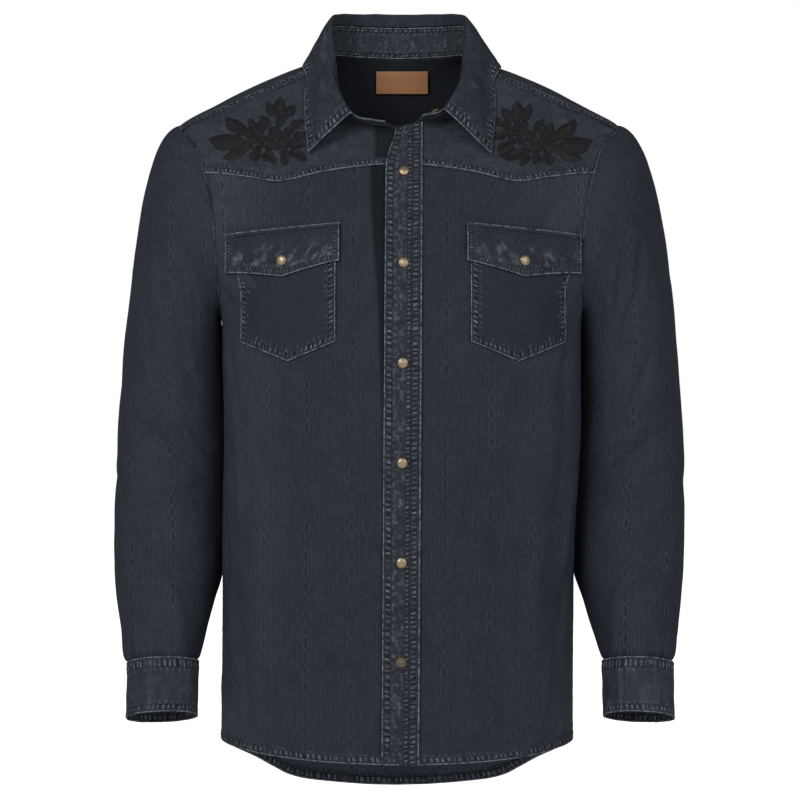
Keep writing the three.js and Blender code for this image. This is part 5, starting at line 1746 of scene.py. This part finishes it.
class Collar(Part):
    """The stand and the leaf.

    Args:
        sewing: The finishes, and what keeps the rows of stitches.
    """

    def __init__(self, sewing: "Sewing") -> None:
        super().__init__(sewing)
        self.form = CollarForm()

    def stand(self) -> bpy.types.Object:
        """The stand, pulled by a zigzag of stitches on its face."""
        sizes, rows = self.form.sizes, (1.8, 5.4)
        degrees = sizes.left + (sizes.right - sizes.left) * edged(420, 470)
        points = np.stack([self.form.stand_point(degrees, np.full(degrees.shape, k))
                           for k in edged(12, 34, 0.8)])
        normals = np.broadcast_to(self.form.stand_frame(degrees)[3][None], points.shape).copy()
        run, rise, far, high = spans(points)
        ends = np.minimum(run, far)
        edge = np.minimum(np.minimum(rise, high), ends)
        grid = Grid(points, normals, run, rise)
        grid.raise_by(roped(edge, run + rise, rows, 101, 0.8) + 0.3 * lumps(run, rise, 9, 102))
        grid.seam = stitched(edge, np.where(ends <= edge, rise, run), rows, 5.6)
        zigzag = 12 + 8 * np.abs((run / 7.4 + 0.5 * lumps(run, 0 * rise, 21, 104)) % 2 - 1)
        pulled = bump(rise - zigzag, 1.9) * np.clip(0.6 + lumps(run, rise, 8, 105), 0, 1)
        grid.raise_by(-0.5 * pulled)
        # The dark beside the zigzag's pulled line is painted shade.
        grid.marks = {"wear": 0.12 * np.clip(lumps(run, rise, 7, 103), 0, 1) + 0.3 * pulled,
                      "dark": 0.3 * bump(rise - zigzag - 3, 1.6)}
        self.sewing.trim(grid, rows, (high, 0, None), (rise, 0, None))
        return self.cut("stand", grid, STAND_CLOTH,
                        Cut((0.46, 0.034), Held.FOLDED, ["yoke_back_cloth"], 0.0146),
                        node="collar_stand")

    def leaf(self) -> bpy.types.Object:
        """The leaf, rolled over the stand."""
        t = np.concatenate([np.linspace(0, 0.86, 40, endpoint=False), np.linspace(0.86, 1, 18)])
        points = self.form.leaf_point(14 * edged(380, 520)[None], t[:, None])
        normals = facing(points)
        if normals[-1, 150, 1] < 0:
            normals = -normals
        run, fall, far, low = spans(points)
        ends, rows = np.minimum(run, far), (2.8, 10.2)
        edge = np.minimum(low, ends)
        grid = Grid(points, normals, run, fall)
        grid.raise_by(roped(edge, run + fall * 0.9, rows, 111) + 0.45 * lumps(run, fall, 15, 112))
        roll = bump(fall - 24, 9) * np.clip(0.2 + lumps(run, fall, 12, 113), 0, 1)
        grid.seam = stitched(edge, np.where(ends <= edge, fall, run), rows, 6.0)
        grid.marks = {"wear": 0.16 * roll, "dark": np.zeros(grid.shape)}
        self.sewing.trim(grid, rows, (low, 0, ends), (run, 1, low), (far, 1, low))
        return self.cut("leaf", grid, COLLAR_CLOTH,
                        Cut((0.52, 0.085), Held.FOLDED, ["stand_cloth"], 0.0328),
                        node="collar")


class FrontStrip(Part):
    """The front strip and the turned strip below it."""

    @staticmethod
    def reach_neck(x: Array, t: Array, foot: float, short: float) -> Array:
        """Heights from a foot up to just short of the neck's seam."""
        neck = FORM.neck(np.degrees(FORM.angle_at(x, np.full(x.shape, -84.0))))[1]
        return foot + (neck - short - foot) * t[:, None]

    def strip(self) -> bpy.types.Object:
        """The strip on top, which bends away from the neck at its upper end."""
        s, t = np.linspace(0, 1, 60), np.linspace(0, 1, 540)
        foot, head = -767.6, -88.0
        straight = foot + (head - foot) * t[:, None]
        curve = smooth(straight, -140, head) ** 1.5 * 10 * (1 - s[None])
        x = placket_centre(straight) + (s[None] - 0.5) * SIZES.placket_width + curve
        grid = flat_grid(x, self.reach_neck(x, t, foot, 2))
        run, rise, far, high = spans(grid.points)
        rows, far_rows = (2.4, 9.0), (3.4, 10.6)
        height = (roped(run, rise, rows, 121, 1.15) + roped(far, rise, far_rows, 122, 1.15)
                  + roped(np.minimum(rise, high), run, rows, 123, 0.8)
                  + 0.7 * lumps(run * 0.8, rise, 10, 124) + 0.25 * lumps(run, rise, 4.5, 125))
        grid.raise_by(SIZES.layer + SIZES.folded + 0.6 + height)
        left = stitched(np.minimum(run, rise), np.where(rise <= run, run, rise), rows, 6.6)
        right = stitched(far, rise + 977, far_rows, 5.3)
        beads = (right[0] * 1.08, np.interp(far, (11, 11.6, 16.8, 17.6, 30),
                                            (8.2, 1.6, 8.0, 12, 40)))
        grid.seam = tuple(np.where(run < 18.5, one, np.where(far < 11.1, two, three))
                          for one, two, three in zip(left, right, beads))
        # The dark just beside the innermost row along the right edge and in the troughs of the lumps is
        # painted shade.
        grid.marks = {
            "wear": np.clip(lumps(run * 1.3, rise, 3.4, 126), 0, 1) * 0.42
            * smooth(run, 9.0, 11.0) * smooth(far, 16.5, 18),
            "dark": np.clip(0.6 * bump(far - 17.2, 0.7)
                            + 0.3 * np.clip(-lumps(run, rise, 4.2, 126), 0, 1), 0, 1)}
        self.sewing.trim(grid, rows, (run, 1, None))
        self.sewing.trim(grid, (*far_rows, 16.8), (far, 1, None))
        return self.cut("strip", grid, TRIM,
                        Cut((0.0405, 0.70), Held.FOLDED, ["front_left_cloth"]),
                        SIZES.folded + 0.4, node="placket")

    def under(self) -> bpy.types.Object:
        """The turned strip inside the wearer's right front."""
        s, t = np.linspace(0, 1, 14), np.linspace(0, 1, 240)
        foot, rows = -766.0, (2.0, 7.0)
        x = joint_x(foot + 676 * t[:, None]) - 1 - (1 - s[None]) * 35
        grid = flat_grid(x, self.reach_neck(x, t, foot, 3))
        run, rise, far, _ = spans(grid.points)
        edge = np.minimum(run, far)
        grid.raise_by(-SIZES.cloth - 1.7 - roped(edge, rise, rows, 131, 0.8))
        grid.seam = stitched(edge, rise, rows)
        return self.cut("under_strip", grid, TRIM,
                        Cut((0.036, 0.69), Held.FOLDED, ["front_right_cloth"]),
                        node="under_placket")


class Pocket(Part):
    """A chest pocket and its flap.

    Args:
        sewing: The finishes, and what keeps the rows of stitches.
        side: +1 for the wearer's left.
    """

    def __init__(self, sewing: "Sewing", side: int) -> None:
        super().__init__(sewing, side)
        self.sizes = PocketSizes()

    def x_at(self, across: Array) -> Array:
        """x of a distance across the pocket."""
        return placket_centre(-280.0) + self.side * (self.sizes.inner_x + across)

    def bag_places(self, s: Array, t: Array) -> Places:
        """x and z of the pocket's bag."""
        k = self.sizes
        taper = s * k.bag_taper * np.minimum(1, (1 - t) * 2.2)
        across = k.bag_inset + s * (k.flap_width - 2 * k.bag_inset) - taper
        top = k.top_z + k.slope * across + k.bag_top + k.bag_under
        foot = k.top_z + k.bag_side + (k.bag_point - k.bag_side) * (1 - np.abs(2 * s - 1))
        return self.x_at(across), foot + (top - foot) * t

    def flap_places(self, s: Array, t: Array) -> Places:
        """x and z of the flap."""
        k = self.sizes
        across = s * k.flap_width + 0 * t
        point = (1 - np.abs(2 * s - 1)) ** 1.25
        drop = k.flap_side + (k.flap_point - k.flap_side) * point
        return self.x_at(across), k.top_z + k.slope * across - drop * (1 - t)

    def bag(self) -> bpy.types.Object:
        """The bag."""
        grid = flat_grid(*self.bag_places(edged(64, 108)[None], edged(80, 130)[:, None]))
        run, rise, far, _ = spans(grid.points)
        sides, rows = np.minimum(run, far), (2.4, 8.6)
        edge, along = np.minimum(sides, rise), np.where(rise < sides, run, rise)
        grid.u = -self.side * grid.u
        grid.raise_by(SIZES.layer + 0.2 + SIZES.bag + roped(edge, along, rows, 141 + self.side, 1.1)
                      + 0.5 * lumps(run, rise, 14, 143 + self.side))
        grid.seam = stitched(edge, along, rows, 5.6)
        self.sewing.trim(grid, rows, (run, 1, rise), (far, 1, rise), (rise, 0, sides))
        return self.cut(f"pocket_{self.name}", grid, BIAS,
                        Cut((0.118, 0.136), Held.LAID, [f"front_{self.name}_cloth"], 0.0148),
                        SIZES.bag)

    def flap(self) -> bpy.types.Object:
        """The flap."""
        grid = flat_grid(*self.flap_places(edged(86, 120)[None], edged(24, 46)[:, None]))
        run, rise, far, high = spans(grid.points)
        sides, rows = np.minimum(run, far), (2.9, 7.0)
        edge, along = np.minimum(sides, rise), np.where(rise < sides, run, rise)
        height = np.maximum(roped(edge, along, rows, 151 + self.side, 1.15), 0)
        height = height + 0.5 * bump(high - 0.8, 1.2) - 0.4 * bump(high - 7, 1.5)
        grid.raise_by(SIZES.layer * 2 + SIZES.bag + 0.4 + SIZES.folded + height
                      + 0.6 * lumps(run + rise, rise, 11, 157 + self.side))
        grid.seam = stitched(edge, along, rows, 3.6)
        folds = np.clip(lumps(run + 0.9 * rise, (run - rise) * 0.34, 4.6, 159 + self.side), 0, 1)
        grid.marks["wear"] = np.clip(0.75 * bump(high - 0.5, 0.7) + 0.42 * folds
                                     * smooth(edge, 6, 9) * smooth(high, 12, 26), 0, 1)
        grid.marks["dark"] = 0.45 * smooth(high, 1.2, 2.2) * (1 - smooth(high, 7.5, 9.5))
        self.sewing.trim(grid, rows, (run, 1, rise), (far, 1, rise), (rise, 0, sides),
                         (high, 0, None))
        return self.cut(f"flap_{self.name}", grid, FLAP_CLOTH,
                        Cut((0.126, 0.054), Held.LAID, [f"front_{self.name}_cloth"], 0.0065))


# ---- Seams -------------------------------------------------------------------------------------


@dataclass
class Path:
    """A line on the cloth.

    Attributes:
        points: Its points.
        normals: Directions out of the cloth there.
    """

    points: Array
    normals: Array

    def even(self, pitch: float) -> "Path":
        """The same line with points at an even spacing."""
        run = run_of(self.points)
        at = np.linspace(0, run[-1], max(int(round(run[-1] / pitch)), 2) + 1)
        points, normals = (np.stack([np.interp(at, run, values[:, k]) for k in range(3)], -1)
                           for values in (self.points, self.normals))
        return Path(points, unit(normals))

    def across(self) -> Array:
        """Directions across the line, on the cloth, to the left of its run seen from outside."""
        return unit(np.cross(self.normals, np.gradient(self.points, axis=0)))

    def moved(self, aside: float, out: float) -> "Path":
        """The line moved across the cloth and out of it."""
        return Path(self.points + self.across() * aside + self.normals * out, self.normals)


@dataclass(frozen=True)
class SeamSizes:
    """A stitched seam.

    Attributes:
        wide: Width of the raised band.
        rows: Distances of the rows of stitches from the seam's edge.
        high: How far its edge stands out.
        strength: How strongly it is puckered and worn.
        period: Distance from pucker to pucker.
    """

    wide: float
    rows: Pair
    high: float
    strength: float
    period: float = 6.4


YOKE_SEAM = SeamSizes(9.5, (1.9, 6.6), 0.9, 1.0, 5.0)
SHOULDER_SEAM = SeamSizes(9.0, (1.8, 6.4), 0.8, 0.9, 5.2)
ARMHOLE_SEAM = SeamSizes(7.0, (1.6, 5.2), 0.6, 0.35, 5.4)
SIDE_SEAM = SeamSizes(5.5, (1.4, 4.2), 0.5, 0.5)
BACK_YOKE_SEAM = SeamSizes(9.5, (1.9, 7.0), 0.9, 1.0)
HEM = SeamSizes(10.5, (1.9, 8.0), 0.8, 1.0)
HEM_TURN = SeamSizes(11.5, (1.9, 9.0), 0.8, 1.1)


@dataclass(frozen=True)
class StitchSizes:
    """A stitch: its pitch along a row, and in metres its length and half its thickness."""

    pitch: float = 3.1
    length: float = 0.0025
    radius: float = 0.00036
    uneven: float = 0.22
    seed: int = 7


class Sewing:
    """Bands along seams, and the rows of stitches on them.

    Args:
        finishes: The materials.
    """

    COLUMNS = np.array([-0.5, -0.1, 0.35, 1.0, 1.8, 2.7, 3.8, 5.0, 6.3, 7.6, 8.8, 10.0]) / 10
    PARTS = 4

    def __init__(self, finishes: Finishes) -> None:
        self.finishes = finishes
        self.sizes = StitchSizes()
        self.rows: List[Path] = []
        self.count = 0

    def band(self, name: str, path: Path, sizes: SeamSizes, finish: ClothFinish = TRIM,
             slot: str = "striped_cloth") -> bpy.types.Object:
        """A puckered band to the left of a line, with its rows of stitches.

        Args:
            name: The object's name.
            path: The seam's edge.
            sizes: The seam's sizes.
            finish: Its cloth.
            slot: Its slot, which is not used.

        Returns:
            The band.
        """
        self.count += 1
        line = path.even(1.25)
        run = np.broadcast_to(run_of(line.points)[:, None],
                              (len(line.points), len(self.COLUMNS))) * 1.0
        d = self.COLUMNS * sizes.wide + 0 * run
        fade = np.clip((sizes.wide - d) / (0.32 * sizes.wide), 0, 1)
        height = roped(d, run, sizes.rows, 200 + 7 * self.count, sizes.strength)
        height = (sizes.high * smooth(d, -0.4, 0.7) * (0.35 + 0.65 * fade)
                  + height * fade ** 0.5 * smooth(d, -0.5, 0.3) - 0.35 * (1 - fade)
                  - 0.5 * (d < 0))
        out = line.normals[:, None]
        points = (line.points[:, None] + line.across()[:, None] * d[..., None]
                  + out * height[..., None])
        quads = grid_faces(*run.shape)
        n = np.cross(points[1, 0] - points[0, 0], points[0, 1] - points[0, 0])
        if np.dot(n, line.normals[0]) > 0:
            quads = quads[:, ::-1]
        marks = {key: np.zeros(run.shape) for key in ("wear", "dark", "inside")}
        obj = make_mesh(name, points, quads, self.finishes.material(finish),
                        np.stack([d, run], -1), marks,
                        np.stack(stitched(d, run, sizes.rows, sizes.period), -1))
        for row in sizes.rows:
            self.row(line.moved(row, sizes.high * 0.9 - 0.1))
        return ride(obj, slot)

    def row(self, path: Path) -> None:
        """One row of stitches along a line."""
        self.rows.append(path.even(self.sizes.pitch))

    def trim(self, grid: Grid, distances: Sequence[float],
             *edges: Tuple[Array, int, Optional[Array]]) -> None:
        """Rows of stitches at distances from the edges of a piece.

        Args:
            grid: The piece.
            distances: The distances.
            *edges: Distance from an edge over the grid, the axis along which it changes, and
                distance from what cuts the rows short, if anything does.
        """
        for distance in distances:
            for measure, axis, limit in edges:
                keep = None if limit is None else limit >= distance
                self.row(level_path(grid, measure, distance, axis, keep))

    def stitches(self) -> Pieces:
        """All the rows, shared out among a few objects."""
        tree = stitch_tree()
        return [self.laid(part, self.rows[part::self.PARTS], tree) for part in range(self.PARTS)]

    def laid(self, part: int, rows: Sequence[Path], tree: bpy.types.NodeTree
             ) -> bpy.types.Object:
        """Some of the rows, each stitch an instance at its place, made real.

        Args:
            part: Which of the objects.
            rows: Its rows.
            tree: The tree that lays a stitch at each point.

        Returns:
            The object.
        """
        mesh = bpy.data.meshes.new(f"stitches_{part}")
        middles = np.concatenate([(p.points[1:] + p.points[:-1]) / 2 for p in rows])
        mesh.from_pydata((middles * MM).tolist(), [], [])
        ways = {"along": [unit(np.diff(p.points, axis=0)) for p in rows],
                "normal_out": [unit(p.normals[1:] + p.normals[:-1]) for p in rows]}
        for key, value in ways.items():
            attribute = mesh.attributes.new(key, "FLOAT_VECTOR", "POINT")
            attribute.data.foreach_set("vector", np.concatenate(value).astype(np.float32).ravel())
        obj = add_object(mesh.name, mesh)
        modifier = obj.modifiers.new("stitching", "NODES")
        modifier.node_group = tree
        sizes = self.sizes
        values = {"Length": sizes.length, "Radius": sizes.radius, "Uneven": sizes.uneven,
                  "Seed": sizes.seed + part, "Thread": self.finishes.material(THREAD)}
        for item in tree.interface.items_tree:
            if item.item_type == "SOCKET" and item.in_out == "INPUT" and item.name in values:
                modifier[item.identifier] = values[item.name]
        return ride(apply_modifiers(obj), "plain_cloth")


def stitch_tree() -> bpy.types.NodeTree:
    """Geometry nodes that lay one bent stitch at every point."""
    tree = bpy.data.node_groups.new("stitches_along_seams", "GeometryNodeTree")
    sockets = {"Points": "Geometry", "Length": "Float", "Radius": "Float", "Uneven": "Float",
               "Seed": "Int", "Thread": "Material"}
    for name, kind in sockets.items():
        tree.interface.new_socket(name, in_out="INPUT", socket_type="NodeSocket" + kind)
    tree.interface.new_socket("Stitches", in_out="OUTPUT", socket_type="NodeSocketGeometry")
    n = Nodes(tree)
    start = n.add("NodeGroupInput").outputs
    ball = n.value("GeometryNodeMeshUVSphere", {"Segments": 6, "Rings": 5, "Radius": 1.0},
                   "Mesh")
    size = n.value("ShaderNodeCombineXYZ", {"X": n.math("MULTIPLY", start["Length"], 0.5),
                   "Y": start["Radius"], "Z": start["Radius"]})
    stitch = n.value("GeometryNodeTransform", {"Geometry": ball, "Scale": size})
    along, out = (n.value("GeometryNodeInputNamedAttribute", {"Name": key}, "Attribute",
                          data_type="FLOAT_VECTOR") for key in ("along", "normal_out"))
    turn = n.value("FunctionNodeAxesToRotation", {"Primary Axis": along, "Secondary Axis": out},
                   "Rotation", primary_axis="X", secondary_axis="Z")
    low = n.math("SUBTRACT", 1.0, start["Uneven"])
    vary = n.value("FunctionNodeRandomValue", {2: low, 3: 1.1, "Seed": start["Seed"]}, 1,
                   data_type="FLOAT")
    laid = n.value("GeometryNodeInstanceOnPoints", {"Points": start["Points"],
                   "Instance": stitch, "Rotation": turn, "Scale": vary})
    real = n.value("GeometryNodeRealizeInstances", {"Geometry": laid})
    dressed = n.value("GeometryNodeSetMaterial", {"Geometry": real, "Material": start["Thread"]})
    n.add("NodeGroupOutput", {"Stitches": dressed})
    return tree


def level_path(grid: Grid, measure: Array, at: float, axis: int, keep: Optional[Array] = None
               ) -> Path:
    """The line on a piece where a measure reaches a distance.

    Args:
        grid: The piece.
        measure: What is measured, over its whole grid.
        at: The distance.
        axis: 0 if the measure changes down the rows, 1 if along them.
        keep: Where the line may run, everywhere if it isn't given.

    Returns:
        The line, a little above the cloth.
    """
    flags = np.ones(grid.shape, bool) if keep is None else np.broadcast_to(keep, grid.shape)
    points, normals = grid.points, grid.normals
    if axis == 0:
        points, normals, measure, flags = (a.swapaxes(0, 1)
                                           for a in (points, normals, measure, flags))
    sign = 1 if measure[0, -1] > measure[0, 0] else -1
    rising, goal = measure * sign, at * sign
    column = np.clip((rising < goal).sum(axis=1), 1, measure.shape[1] - 1)
    r = np.arange(len(column))
    low, high = rising[r, column - 1], rising[r, column]
    share = np.clip((goal - low) / np.maximum(high - low, 1e-6), 0, 1)[:, None]
    line = points[r, column - 1] * (1 - share) + points[r, column] * share
    keep, out = flags[r, column], unit(normals[r, column])
    return Path((line + out * 0.12)[keep], out[keep])


def body_path(angle: Array, z: Array, lift: float = 0.15, back: bool = False) -> Path:
    """A line on the body.

    Args:
        angle: Angles.
        z: Heights.
        lift: How far it stands out.
        back: Whether it runs from the last place to the first.

    Returns:
        The line.
    """
    points, normals = FORM.point(angle, z), FORM.normal(angle, z)
    step = -1 if back else 1
    return Path((points + normals * lift)[::step], normals[::step])


class Seams:
    """The seams of the body and sleeves.

    Args:
        sewing: What makes their bands and stitches.
    """

    def __init__(self, sewing: Sewing) -> None:
        self.sewing = sewing

    def build(self) -> Pieces:
        """All the seams."""
        band = self.sewing.band
        return [
            *self.sides(1), *self.sides(-1),
            band("back_yoke_seam", body_path(*back_yoke_seam(np.linspace(0, 1, 160))),
                 BACK_YOKE_SEAM, slot="plain_cloth"),
            band("hem_back", self.hem_line(0.1), HEM),
            self.hem_back_turn(),
        ]

    def sides(self, side: int) -> Pieces:
        """The seams of one side: yoke, shoulder, armhole, hem and side.

        Args:
            side: +1 for the wearer's left.

        Returns:
            The bands.
        """
        band, name, s = self.sewing.band, side_name(side), np.linspace(0, 1, 160)
        right = side < 0
        hem = BodyPanels.front_places(side, np.linspace(0.01, 0.995, 200), np.array([0.0, 0.001]))
        rim = BodyPanels.front_places(side, np.array([0.0, 1.0]), np.linspace(0.004, 0.765, 260))
        return [
            band(f"yoke_seam_{name}", body_path(*yoke_seam(s, side), back=right), YOKE_SEAM,
                 slot="plain_cloth"),
            band(f"shoulder_seam_{name}", body_path(*shoulder_seam(s, side), back=not right),
                 SHOULDER_SEAM, slot="plain_cloth"),
            band(f"armhole_seam_{name}",
                 body_path(*FORM.armhole(np.linspace(4, 356, 260), side), back=not right),
                 ARMHOLE_SEAM, FADED),
            band(f"hem_front_{name}", body_path(hem[0][0], hem[1][0], 0.1, right), HEM),
            band(f"side_seam_{name}", body_path(rim[0][:, 1], rim[1][:, 1], 0.1, right),
                 SIDE_SEAM, FADED),
        ]

    @staticmethod
    def hem_line(lift: float, back: bool = False) -> Path:
        """The edge of the back's hem."""
        angle, z = BodyPanels.back_places(np.linspace(0.005, 0.995, 420), np.array([0.0, 0.001]))
        return body_path(angle[0], z[0], lift, back)

    def hem_back_turn(self) -> bpy.types.Object:
        """The turned side of the back's hem, seen below the fronts."""
        line = self.hem_line(-SIZES.cloth - 0.15, back=True)
        return self.sewing.band("hem_back_turn", Path(line.points, -line.normals), HEM_TURN,
                                HEM_CLOTH)


# ---- Embroidery --------------------------------------------------------------------------------


@dataclass(frozen=True)
class Petal:
    """A leaf or petal laid in satin stitch, on the wearer's left; the right is mirrored.

    Attributes:
        x: Where it starts, from the middle.
        z: Its height there.
        turn: Its direction in degrees, 0 away from the middle and 90 up.
        long: Its length.
        wide: Its width.
        bend: How far it turns on its way, in degrees.
        high: How far it lies above the others.
    """

    x: float
    z: float
    turn: float
    long: float
    wide: float
    bend: float = 0.0
    high: float = 0.0


def rose(x: float, z: float, size: float) -> List[Petal]:
    """The petals of a rose, ring by ring, the inner ones higher."""
    petals = []
    for ring, (count, start, long, wide) in enumerate(
            ((7, 0.5, 0.52, 0.62), (5, 0.24, 0.42, 0.5), (3, 0.03, 0.3, 0.32))):
        for k in range(count):
            turn = 360 / count * k + 26 * ring + 9 * math.sin(3.1 * k + ring)
            away = math.radians(turn)
            petals.append(Petal(x + start * size * math.cos(away), z + start * size * math.sin(away),
                                turn - 24, long * size, wide * size, 48, 0.35 * ring))
    return petals


class Embroidery:
    """The flowers and leaves on a front yoke.

    Args:
        side: +1 for the wearer's left.
        finishes: The materials.
    """

    LEFT = (
        *rose(156, -102, 24), *rose(127, -86, 17),
        Petal(172, -96, 40, 30, 15, -30), Petal(174, -101, 10, 38, 18, 26),
        Petal(173, -107, -18, 28, 14, 30), Petal(184, -92, 66, 22, 12, -30),
        Petal(188, -108, 24, 22, 11, 30), Petal(137, -108, 196, 27, 14, -26),
        Petal(142, -113, 232, 17, 12, 28), Petal(125, -104, 208, 20, 13, -28),
        Petal(134, -75, 66, 22, 12, 26), Petal(131, -73, 98, 21, 14, 0, 0.3),
        Petal(126, -74, 136, 19, 12, -24), Petal(116, -90, 186, 17, 12, -28),
        Petal(113, -80, 150, 15, 10, 24), Petal(146, -86, 52, 18, 10, 26),
        Petal(163, -88, 70, 14, 9, -20), Petal(118, -99, 224, 15, 10, 22),
    )
    RIGHT = (
        *rose(149, -98, 25), *rose(120, -99, 18),
        Petal(166, -91, 36, 31, 15, -28), Petal(168, -97, 6, 40, 19, 24),
        Petal(166, -104, -24, 28, 14, 30), Petal(180, -87, 64, 20, 12, -26),
        Petal(184, -104, 20, 21, 11, 28), Petal(132, -82, 108, 20, 12, -20),
        Petal(134, -70, 62, 20, 12, 24), Petal(131, -68, 94, 20, 14, 0, 0.3),
        Petal(126, -70, 132, 18, 12, -22), Petal(118, -84, 150, 18, 12, 26),
        Petal(109, -92, 172, 13, 10, -20), Petal(112, -108, 222, 17, 11, -24),
        Petal(126, -112, 258, 13, 10, 20), Petal(139, -80, 44, 18, 10, 24),
        Petal(158, -84, 68, 14, 9, -18), Petal(141, -113, 236, 13, 9, 20),
    )

    def __init__(self, side: int, finishes: Finishes) -> None:
        self.side = side
        self.finishes = finishes

    def shape(self, petal: Petal) -> Places:
        """Points of a petal, and the measure along which its strands lie side by side."""
        s, t = np.linspace(0, 1, 17), np.linspace(-1, 1, 19)
        heading = np.radians(petal.turn + petal.bend * (s - 0.5))
        step = petal.long / (len(s) - 1)
        x = petal.x + np.concatenate([[0], np.cumsum(np.cos(heading[:-1]) * step)])
        z = petal.z + np.concatenate([[0], np.cumsum(np.sin(heading[:-1]) * step)])
        half = petal.wide / 2 * np.sin(np.pi * np.clip(s, 0.02, 0.985) ** 0.8) ** 0.7
        half = half[:, None] * (1 + 0.06 * np.sin(s * 19 + petal.x)[:, None])
        away = np.stack([-np.sin(heading), np.cos(heading)], -1)
        px = self.side * (x[:, None] + away[:, :1] * t * half)
        pz = z[:, None] + away[:, 1:] * t * half
        ends = np.sin(np.pi * np.clip(s, 0.04, 0.96))[:, None] ** 0.4
        full = np.sqrt(np.clip(1 - t[None] ** 2, 0, 1)) * ends
        ridges = 0.16 * np.cos(14 * t[None] * (0.4 + s[:, None]))
        height = 0.25 + petal.high + (0.95 + ridges - 0.4 * bump(t[None], 0.16)) * full
        height = height - 0.7 * (np.abs(t)[None] > 0.99)
        angle = FORM.angle_at(px, pz)
        points = FORM.point(angle, pz) + FORM.normal(angle, pz) * height[..., None]
        lay = s[:, None] * petal.long * 0.6 - np.abs(t)[None] * half * 0.8
        return points, np.stack([lay, np.broadcast_to(t[None] * half, lay.shape)], -1)

    def build(self) -> bpy.types.Object:
        """All the shapes of one yoke."""
        points, uvs, faces, count = [], [], [], 0
        for petal in self.LEFT if self.side > 0 else self.RIGHT:
            shape, lay = self.shape(petal)
            quads = grid_faces(*shape.shape[:2]) + count
            faces.append(quads[:, ::-1] if self.side > 0 else quads)
            points.append(shape.reshape(-1, 3))
            uvs.append(lay.reshape(-1, 2))
            count += len(points[-1])
        obj = make_mesh(f"embroidery_{side_name(self.side)}", np.concatenate(points), np.concatenate(faces),
                        self.finishes.material(FLOSS), np.concatenate(uvs))
        return ride(obj, "plain_cloth")


# ---- Studio --------------------------------------------------------------------------------------


def seen_white(tree: bpy.types.NodeTree, strength: float, target: bpy.types.NodeSocket) -> None:
    """Makes a light as strong as white to the camera, and of another strength to the rest.

    Args:
        tree: Its nodes.
        strength: Its strength on what it lights.
        target: The input that takes it.
    """
    n = Nodes(tree)
    seen = n.value("ShaderNodeLightPath", output="Is Camera Ray")
    n.join(n.value("ShaderNodeMapRange", {"Value": seen, "To Min": strength, "To Max": 1.0},
                   "Result"), target)


def world_light(strength: float) -> None:
    """A plain white surround, seen white, that lights more softly."""
    world = bpy.data.worlds.new("surround")
    bpy.context.scene.world = world
    world.use_nodes = True
    back = world.node_tree.nodes["Background"]
    back.inputs["Color"].default_value = (1, 1, 1, 1)
    seen_white(world.node_tree, strength, back.inputs["Strength"])


def pale_floor(z: float, far: float = 30.0) -> None:
    """A wide pale floor under the shirt."""
    mesh = bpy.data.meshes.new("floor")
    mesh.from_pydata([(-far, -far, z), (far, -far, z), (far, far, z), (-far, far, z)], [],
                     [(0, 1, 2, 3)])
    material = bpy.data.materials.new("floor_white")
    material.use_nodes = True
    shader = material.node_tree.nodes["Principled BSDF"]
    shader.inputs["Base Color"].default_value = (0.9, 0.9, 0.9, 1)
    shader.inputs["Roughness"].default_value = 0.9
    shader.inputs["Emission Color"].default_value = (1, 1, 1, 1)
    seen_white(material.node_tree, 0.2, shader.inputs["Emission Strength"])
    mesh.materials.append(material)
    add_object("floor", mesh)


def soft_light(name: str, place: Point, aim: Point, size: float, power: float) -> None:
    """One large soft light.

    Args:
        name: Its name.
        place: Where it stands, in metres.
        aim: What it faces.
        size: Its side.
        power: Its power.
    """
    data = bpy.data.lights.new(name, "AREA")
    data.shape, data.size, data.energy = "SQUARE", size, power
    obj = add_object(name, data)
    obj.location = place
    obj.rotation_euler = (Vector(aim) - Vector(place)).to_track_quat("-Z", "Y").to_euler()


def set_camera() -> None:
    """A long lens level with the middle of the shirt."""
    data = bpy.data.cameras.new("camera")
    data.lens, data.sensor_width, data.clip_end = 184.09, 36.0, 50
    obj = add_object("camera", data)
    obj.location = (0.0011, -4.5, -0.3784)
    obj.rotation_euler = (math.pi / 2, 0, 0)
    bpy.context.scene.camera = obj


def dress_hardware(finishes: Finishes) -> None:
    """Gives the snaps and the label their finishes, and the snaps a darker rim."""
    looks = {"label": TAN, "snap_6": COPPER}
    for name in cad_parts:
        if not name.startswith("snap") and name != "label":
            continue
        mesh = bpy.data.objects[name].data
        mesh.materials.clear()
        for look in (looks.get(name, BRASS), RIM):
            mesh.materials.append(finishes.material(look))
        if name == "label":
            continue
        middle = sum((f.center for f in mesh.polygons), Vector()) / len(mesh.polygons)
        away = [(f.center - middle).length for f in mesh.polygons]
        for f, distance in zip(mesh.polygons, away):
            f.material_index = int(distance > RIM_FROM * max(away))


def main() -> None:
    """Builds the shirt and its studio."""
    logging.basicConfig(level=logging.INFO)
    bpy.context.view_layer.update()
    finishes = Finishes()
    sewing = Sewing(finishes)
    panels = BodyPanels(sewing)
    pieces = [panels.back_yoke(), panels.back()]
    for side in (1, -1):
        pieces += [panels.front_yoke(side), panels.front(side)]
        pieces += Sleeve(sewing, side).build()
        pocket = Pocket(sewing, side)
        pieces += [pocket.bag(), pocket.flap(), Embroidery(side, finishes).build()]
    strip, collar = FrontStrip(sewing), Collar(sewing)
    pieces += [strip.strip(), strip.under(), collar.stand(), collar.leaf()]
    pieces += Seams(sewing).build() + sewing.stitches()
    dress_hardware(finishes)
    bpy.context.scene.view_settings.view_transform = "Standard"
    world_light(0.24)
    pale_floor(-1.15)
    soft_light("key", (-1.6, -3.0, 1.3), (0, 0, -0.38), 1.3, 94)
    soft_light("fill", (1.9, -3.1, 0.9), (0, 0, -0.4), 1.5, 56)
    set_camera()
    LOG.info("%d pieces", len(pieces))


if __name__ == "__main__":
    main()
